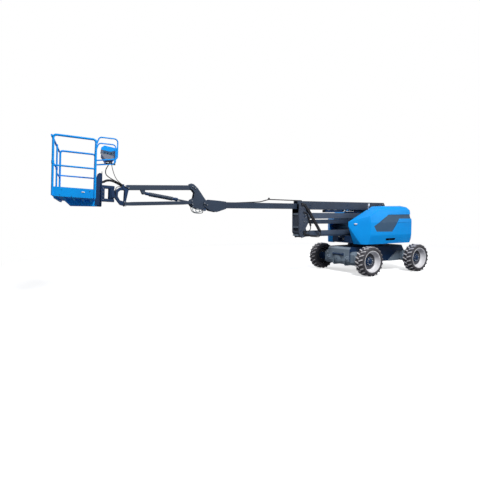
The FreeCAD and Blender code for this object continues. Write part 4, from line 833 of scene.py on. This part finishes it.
# %% Keepers and bolts
BOLT_R, BOLT_H = 0.013, 0.011
KEEPER_T = 0.008
KEEPER = [(-0.055, -0.014), (0.055, -0.014), (0.055, 0.014), (-0.055, 0.014)]
BOLT_REACH = 0.038
FIRST_TURN, NEXT_TURN = 0.5, 0.9     # radians, so that no two keepers on a body lie the same way
PINS = {
    "mid_pivot": [(2.600, 1.230, 0.168), (2.590, 1.715, 0.168), (2.670, 1.150, 0.164), (2.590, 1.545, 0.166)],
    "upper_pivot": [(-0.560, 1.715, 0.133), (-0.520, 2.030, 0.133), (-0.300, 1.850, 0.133)],
    "turntable": [(-0.550, 1.230, 0.162)],
    "fly": [(5.550, 2.000, 0.103)],
    "bellcrank": [(5.840, 2.392, 0.082), (5.900, 2.032, 0.110)],
    "jib_head": [(7.379153, 2.340941, 0.082), (7.439153, 1.980941, 0.110)],
}
for body, pins in PINS.items():
    straps, heads = [], []
    for i, (x, z, face_y) in enumerate(pins):
        c, s = math.cos(FIRST_TURN + NEXT_TURN * i), math.sin(FIRST_TURN + NEXT_TURN * i)
        outline = [(x + a * c - b * s, z + a * s + b * c) for a, b in KEEPER]
        for side in (1, -1):
            top = side * (face_y + KEEPER_T)
            straps.append(plate(outline, *sorted((side * face_y, top))))
            heads += [six_sided((x + reach * c, top, z + reach * s), (0, side, 0), BOLT_R, BOLT_H)
                      for reach in (-BOLT_REACH, BOLT_REACH)]
    fitting("pin_keepers_" + body, straps, "boom_paint", body, 30, 1.0)
    fitting("keeper_bolts_" + body, heads, "zinc", body, 20)

# %% Bolts on plates
PLATE_BOLTS = {
    "mid_pivot": ("mid_pivot", 0.158, [(2.690, 1.930), (2.770, 1.930), (2.690, 1.600), (2.770, 1.480), (2.690, 1.380),
                                       (2.770, 1.760), (2.680, 1.250), (2.770, 1.290)]),
    "boom_side": ("main_boom", 0.095, [(0.944, 2.027), (2.360, 2.010), (2.360, 1.940), (-0.250, 2.060)]),
}
for name, (body, y, spots) in PLATE_BOLTS.items():
    heads = [six_sided((x, side * y, z), (0, side, 0), 0.014, 0.012) for x, z in spots for side in (1, -1)]
    fitting("plate_bolts_" + name, heads, "navy_paint", body, 20)

# %% [markdown]
# ## Hood details
# A small oval marker lamp is let into each hood's nose, and a zinc bracket with a limit switch stands on the left
# hood's inner top edge.

# %% Marker lamps and boom switch
def dome(centre, along, across, out, half_a, half_b, height, rings=5, steps=28):
    """Points and faces of a low oval dome that stands on a surface, with a short rim sunk into it."""
    centre, along, across, out = (Vector(v) for v in (centre, along, across, out))
    verts = [centre + out * height]
    for t in (ring / rings for ring in range(1, rings + 1)):
        rise = out * (height * math.sqrt(max(0.0, 1 - t * t)))
        verts += [centre + along * (half_a * t * math.cos(a)) + across * (half_b * t * math.sin(a)) + rise
                  for a in (2 * math.pi * k / steps for k in range(steps))]
    verts += [v - out * 0.004 for v in verts[-steps:]]
    ends = [(0, 1 + (k + 1) % steps, 1 + k) for k in range(steps)] + [tuple(range(len(verts) - steps, len(verts)))]
    return verts, ends + skin_between(1, rings, steps)


NOSE = Vector((1.098, 0.5832, 1.470))
NOSE_OUT = Vector((0.5, 0.42, 0.0)).normalized()
NOSE_ALONG = Vector((-0.42, 0.5, 0.0)).normalized()
for word, side in SIDES.items():
    flip = Vector((1, side, 1))
    lamp = dome(NOSE * flip, NOSE_ALONG * flip, (0, 0, 1), NOSE_OUT * flip, 0.048, 0.022, 0.010)
    fitting("marker_lamp_" + word, [lamp], "lens_white", "hood_" + word, 50)

SWITCH_X, SWITCH_Y, SWITCH_Z = 0.450, 0.440, 1.888


def switch_plate(half, low, high, near, far):
    """Upright plate about the switch's place."""
    x, z = SWITCH_X, SWITCH_Z
    return plate([(x - half, z + low), (x - half, z + high), (x + half, z + high), (x + half, z + low)],
                 SWITCH_Y + near, SWITCH_Y + far)


fitting("boom_switch_post", [switch_plate(0.012, 0, 0.150, 0, 0.005), switch_plate(0.022, 0, 0.006, -0.020, 0.025)],
        "zinc", "hood_left", round_mm=1.0)
fitting("boom_switch", [switch_plate(0.020, 0.110, 0.185, 0.006, 0.040)], "lens_white", "hood_left", round_mm=4.0)

# %% [markdown]
# ## Under the main boom
# The lift cylinder's hoses lie in a folded steel tray below the main boom. It is what darkens the space between
# the boom and the hoods, so it gets its real section: a channel with its lips turned out.

# %% Hose tray
TRAY = [(-0.062, 1.888), (-0.062, 1.822), (0.062, 1.822), (0.062, 1.888), (0.070, 1.888), (0.070, 1.816),
        (-0.070, 1.816), (-0.070, 1.888)]
TRAY_SLANT = [(1.0, 1.88), (1.16, 1.80), (1.0, 1.80)]
tray = joined(prism(TRAY, "x", 1.120, 1.780), prism(TRAY_SLANT, "y", -0.1, 0.1), "DIFFERENCE")
bevelled(side_copy(tray, "hose_tray", 1, "navy_paint", "main_boom", 30), 1.5)
bpy.data.objects.remove(tray)
strips = [plate([(x, 1.880), (x, 1.902), (x + 0.030, 1.902), (x + 0.030, 1.880)], -0.066, 0.066)
          for x in (1.20, 1.45, 1.70)]
fitting("tray_brackets", strips, "boom_paint", "main_boom", round_mm=1.5)

# %% [markdown]
# ## Platform floor frame
# The floor plate lies on five folded cross members, which end in slanted feet. From below they are what catches
# the light.

# %% Cross members
RIB_TOP, RIB_LOW = FLOOR_LOW - 0.002, FLOOR_LOW - 0.038
RIB = [(-0.790, RIB_TOP), (0.790, RIB_TOP), (0.735, RIB_LOW), (-0.735, RIB_LOW)]
ribs = [plate(RIB, PLAT_REAR + reach, PLAT_REAR + reach + 0.040, parked, "x")
        for reach in (0.045, 0.185, 0.345, 0.505, 0.665)]
fitting("floor_cross_members", ribs, "azure_paint", "platform", round_mm=3.0)
mount_bolts = [six_sided(parked @ Vector((7.872, 0.090, z)), (0, 1, 0), 0.010, 0.008)
               for z in (2.300, 2.215, 2.130, 2.060)]
fitting("mount_bolts", mount_bolts, "zinc", "platform", 20)

# %% [markdown]
# ## Hoses
# Hoses are lengths of rubber that bend as they must, so each starts as a few given points, from where it leaves
# the steel to where it enters it again. A NURBS line of order three goes smoothly past those points, and a round
# tube is laid along the line. A hose between two moving pieces rides on neither and stays where it is drawn.

# %% Hose helpers
def smooth_line(route):
    """Points along the smooth line of a route."""
    curve = bpy.data.curves.new("route", "CURVE")
    curve.dimensions = "3D"
    curve.resolution_u = 16
    spline = curve.splines.new("NURBS")
    spline.points.add(len(route) - 1)
    for knot, point in zip(spline.points, route):
        knot.co = (*point, 1.0)
    spline.order_u = 3
    spline.use_endpoint_u = True
    holder = bpy.data.objects.new("route", curve)
    scene.collection.objects.link(holder)
    line = [v.co.copy() for v in bpy.data.meshes.new_from_object(holder).vertices]
    bpy.data.objects.remove(holder)
    return line


def hose(name, thick, slot_name, bodies, held, *route):
    """Tube along a route. With two bodies it rides on none and stays where it is drawn; held is not used."""
    line = smooth_line(route)
    ways = [(b - a).normalized() for a, b in zip(line, line[1:])]
    side_way = ways[0].orthogonal().normalized()
    rings = []
    for centre, way in zip(line, ways + ways[-1:]):
        side_way = (side_way - way * side_way.dot(way)).normalized()
        rings.append((centre, thick / 2, side_way, way.cross(side_way)))
    made = piece(name, *ringed(rings, 16), slot_name, bodies[0], 60)
    if len(bodies) == 2:
        made.parent = None
        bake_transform(made)


# %% [markdown]
# The platform's oil and wires cross the rotator as a sleeved bundle in an arch, so that they have slack when the
# platform turns. Two control cables come down from the bar under the controls and join it at a clamp on the jib's
# head.

# %% Bundle, cables and their clamp
CLAMP = [(7.440, 2.300), (7.440, 2.402), (7.462, 2.408), (7.480, 2.396), (7.480, 2.300)]
OVER_ROTATOR = ("platform", "jib_head")
fitting("hose_clamp", [plate(CLAMP, -0.085, 0.085)], "navy_paint", "jib_head", round_mm=3.0)
hose("rotator_bundle", 0.048, "cable_black", OVER_ROTATOR, ((7.840, 0.045, 2.460), (7.520, 0.046, 2.390)),
     (7.902, 0.040, 2.430), (7.860, 0.042, 2.438), (7.800, 0.048, 2.476), (7.700, 0.052, 2.478),
     (7.600, 0.050, 2.436), (7.520, 0.046, 2.390), (7.474, 0.044, 2.360))
hose("control_cable_long", 0.020, "cable_black", OVER_ROTATOR, ((7.790, 0.180, 2.740), (7.540, 0.092, 2.424)),
     (7.724, 0.196, 2.884), (7.752, 0.196, 2.820), (7.778, 0.190, 2.765), (7.828, 0.170, 2.680),
     (7.822, 0.135, 2.585), (7.740, 0.110, 2.525), (7.640, 0.098, 2.472), (7.540, 0.092, 2.424), (7.470, 0.078, 2.392))
hose("control_cable_short", 0.014, "cable_black", OVER_ROTATOR, ((7.700, 0.180, 2.750), (7.530, 0.050, 2.445)),
     (7.714, 0.192, 2.882), (7.708, 0.190, 2.810), (7.682, 0.160, 2.690), (7.655, 0.130, 2.610),
     (7.615, 0.100, 2.520), (7.560, 0.070, 2.462), (7.500, 0.016, 2.425), (7.460, 0.004, 2.382))
hose("rotator_feed", 0.016, "cable_black", ("jib_head",), (), (7.470, 0.070, 2.350), (7.520, 0.086, 2.352),
     (7.600, 0.096, 2.340), (7.628, 0.098, 2.290), (7.630, 0.092, 2.200), (7.625, 0.060, 2.130))

# %% [markdown]
# Under the bellcrank the jib's hoses hang in loops, because the bellcrank swings there. They are light grey
# thermoplastic hoses, in the photograph a curl of bright rings under the dark steel.

# %% Loops under the bellcrank
LOOP_BLOCK = [(5.545, 1.835), (5.545, 1.900), (5.600, 1.900), (5.600, 1.835)]
fitting("loop_block", [plate(LOOP_BLOCK, -0.084, 0.084)], "navy_paint", "fly", round_mm=4.0)
hose("jib_hose_loop", 0.018, "hose_grey", ("fly", "bellcrank"), ((5.640, 0.072, 1.840), (5.880, 0.084, 1.880)),
     (5.585, 0.080, 1.862), (5.640, 0.072, 1.838), (5.720, 0.068, 1.806), (5.800, 0.066, 1.812),
     (5.800, 0.070, 1.880), (5.730, 0.078, 1.886), (5.700, 0.088, 1.822), (5.780, 0.094, 1.790),
     (5.870, 0.092, 1.812), (5.892, 0.084, 1.880), (5.870, 0.076, 1.935))
hose("jib_hose_sag", 0.018, "hose_grey", ("fly", "bellcrank"), ((5.640, -0.070, 1.800), (5.872, -0.076, 1.865)),
     (5.575, -0.080, 1.850), (5.556, -0.077, 1.816), (5.590, -0.073, 1.787), (5.650, -0.070, 1.781),
     (5.740, -0.072, 1.783), (5.830, -0.074, 1.808), (5.872, -0.076, 1.865), (5.874, -0.076, 1.930))

# %% [markdown]
# On the mid pivot's left side the hoses run steeply down in ribbed guards, because they would rub through there.
# A guard is a stack of rings along the hose's line, of which two in three stand out as a rib.

# %% Ribbed guards
def ribbed(p, q, r, pitch, bore=0.0):
    """Points and faces of a ribbed sleeve between two points, with a hole where something moves in it."""
    p, q = Vector(p), Vector(q)
    way = (q - p).normalized()
    rings = [(p + way * pitch * (k + reach), r * size) for k in range(int((q - p).length / pitch))
             for reach, size in ((0, 0.86), (0.25, 1), (0.7, 1))]
    return stacked(rings, way, 20, bore=bore)


HOSE_Y = 0.190
guards = [ribbed((2.520, HOSE_Y, 1.914), (2.060, HOSE_Y, 1.256), 0.031, 0.012),
          ribbed((2.560, HOSE_Y + 0.002, 1.912), (2.120, HOSE_Y + 0.002, 1.290), 0.029, 0.012),
          ribbed((2.500, HOSE_Y, 1.680), (2.420, HOSE_Y, 1.420), 0.028, 0.012)]
fitting("hose_guards", guards, "cable_black", "mid_pivot", 40)
RAM_FOOT, RAM_EYE = Vector((7.020, 0, 2.2276)), Vector((5.870, 0, 2.040))
RAM_BORE = 0.032
way = (RAM_EYE - RAM_FOOT).normalized()
guard = ribbed(RAM_FOOT + way * 0.13, RAM_FOOT + way * 0.71, 0.048, 0.040, RAM_BORE)
fitting("cylinder_guard", [guard], "boom_paint", "jib", 40)

# %% [markdown]
# ## Small fittings
# A lifting eye stands on the carrier's back plate, a light latch sits on the toe board, and the boom carries a
# pale blue fitting under its side.

# %% Eye, latch and boom fitting
EYE_PLACE = Vector((7.905, 0.085, 2.620))
EYE_R, EYE_THICK, EYE_HALF, EYE_STEPS = 0.024, 0.24, 0.006, 24
TOE_Y = 0.812
rings = []
for t in (2 * math.pi * k / EYE_STEPS for k in range(EYE_STEPS)):
    out = Vector((0, math.cos(t), math.sin(t)))
    rings.append([parked @ (EYE_PLACE + out * EYE_R * (1 + math.cos(u) * EYE_THICK)
                            + Vector((math.sin(u) * EYE_HALF, 0, 0)))
                  for u in (2 * math.pi * k / 10 for k in range(10))])
verts = sum(rings, [])
faces = [tuple(i % len(verts) for i in face) for face in skin_between(0, EYE_STEPS, 10)]
fitting("lifting_eye", [(verts, faces)], "cable_black", "platform", 60)
LATCH = [(8.215, 2.118), (8.215, 2.138), (8.270, 2.140), (8.270, 2.120)]
fitting("toe_latch", [plate(LATCH, TOE_Y, TOE_Y + 0.010, parked)], "lens_white", "platform", round_mm=3.0)
toe_bolts = [six_sided(parked @ Vector((x, TOE_Y - 0.001, z)), (0, 1, 0), 0.008, 0.006)
             for x, z in ((8.610, 2.145), (8.640, 2.050), (8.440, 2.040), (8.130, 2.150))]
fitting("toe_bolts", toe_bolts, "navy_paint", "platform", 20)
hook = [round_bar((1.080, 0.098, 1.870), (1.080, 0.122, 1.870), 0.020, 0.004),
        round_bar((1.080, 0.112, 1.866), (1.120, 0.112, 1.830), 0.010, 0.002, 16)]
fitting("boom_fitting", hook, "label_grey", "main_boom", 40)

# %% [markdown]
# ## Doublers and axle fittings
# Where the mid pivot takes the arms' pins, a second plate is welded on its left cheek, with the outline that the
# photograph shows and its bolts. The carrier has a folded cover on each side, and the front axle its bolted
# flanges, its round belly and the steering cylinder in front.

# %% Cheek doubler and carrier covers
DOUBLER = [(2.800, 2.010), (2.761, 2.040), (2.690, 2.040), (2.595, 1.985), (2.510, 1.830), (2.492, 1.760),
           (2.492, 1.500), (2.574, 1.364), (2.530, 1.230), (2.530, 1.150), (2.600, 1.118), (2.750, 1.128),
           (2.800, 1.190)]
DOUBLER_FACE = 0.168
DOUBLER_BOLTS = [(2.640, 1.900), (2.560, 1.800), (2.630, 1.700), (2.560, 1.520), (2.640, 1.440), (2.740, 1.900),
                 (2.740, 1.300)]
COVER = [(7.918, 1.925), (8.030, 1.925), (8.030, 2.440), (7.995, 2.570), (7.960, 2.604), (7.918, 2.604)]

fitting("pivot_doubler", [plate(DOUBLER, 0.159, DOUBLER_FACE)], "pivot_paint", "mid_pivot", round_mm=2.0)
heads = [six_sided((x, DOUBLER_FACE, z), (0, 1, 0), 0.015, 0.012) for x, z in DOUBLER_BOLTS]
fitting("doubler_bolts", heads, "navy_paint", "mid_pivot", 20)
lips = [plate([(2.798, z), (2.798, z + 0.040), (2.809, z + 0.040), (2.809, z)], -0.127, 0.127)
        for z in (1.850, 1.750, 1.385, 1.150)]
fitting("pivot_lips", lips, "frame_paint", "mid_pivot", round_mm=2.0)
covers = [plate(COVER, y - 0.004, y + 0.004, parked) for y in (0.138, -0.138)]
fitting("carrier_covers", covers, "navy_paint", "platform", round_mm=1.5)

# %% Front axle fittings
AXLE_FRONT, AXLE_MID_Z = 1.175, 0.442
FLANGE = [(0.800, 0.255), (0.800, 0.630), (0.850, 0.672), (1.150, 0.672), (1.205, 0.615), (1.205, 0.270),
          (1.150, 0.218), (0.850, 0.218)]
FLANGE_Y, FLANGE_HALF = 0.238, 0.014
STEER_X, STEER_Z = 1.215, 0.560

flanges = [plate(FLANGE, y - FLANGE_HALF, y + FLANGE_HALF) for y in (FLANGE_Y, -FLANGE_Y)]
fitting("axle_flanges", flanges, "frame_paint", "chassis", round_mm=3.0)
heads = [six_sided((1.180, side * (FLANGE_Y + FLANGE_HALF), z), (0, side, 0), 0.012, 0.012)
         for side in (1, -1) for z in (0.590, 0.500, 0.390, 0.300)]
fitting("flange_bolts", heads, "zinc", "chassis", 20)
belly = dome((AXLE_FRONT, -0.040, AXLE_MID_Z), (0, 1, 0), (0, 0, 1), (1, 0, 0), 0.165, 0.165, 0.060, 8, 40)
fitting("axle_belly", [belly], "frame_paint", "chassis", 60)
drain = six_sided((AXLE_FRONT + 0.052, -0.040, AXLE_MID_Z - 0.02), (1, 0, 0), 0.016, 0.014)
fitting("axle_plug", [drain], "navy_paint", "chassis", 20)
steering = [round_bar((STEER_X, y0, STEER_Z), (STEER_X, y1, STEER_Z), r, 0.004, 24)
            for y0, y1, r in ((-0.180, 0.200, 0.032), (0.190, 0.222, 0.040), (-0.212, -0.170, 0.040))]
fitting("steering_cylinder", steering, "navy_paint", "chassis", 40)
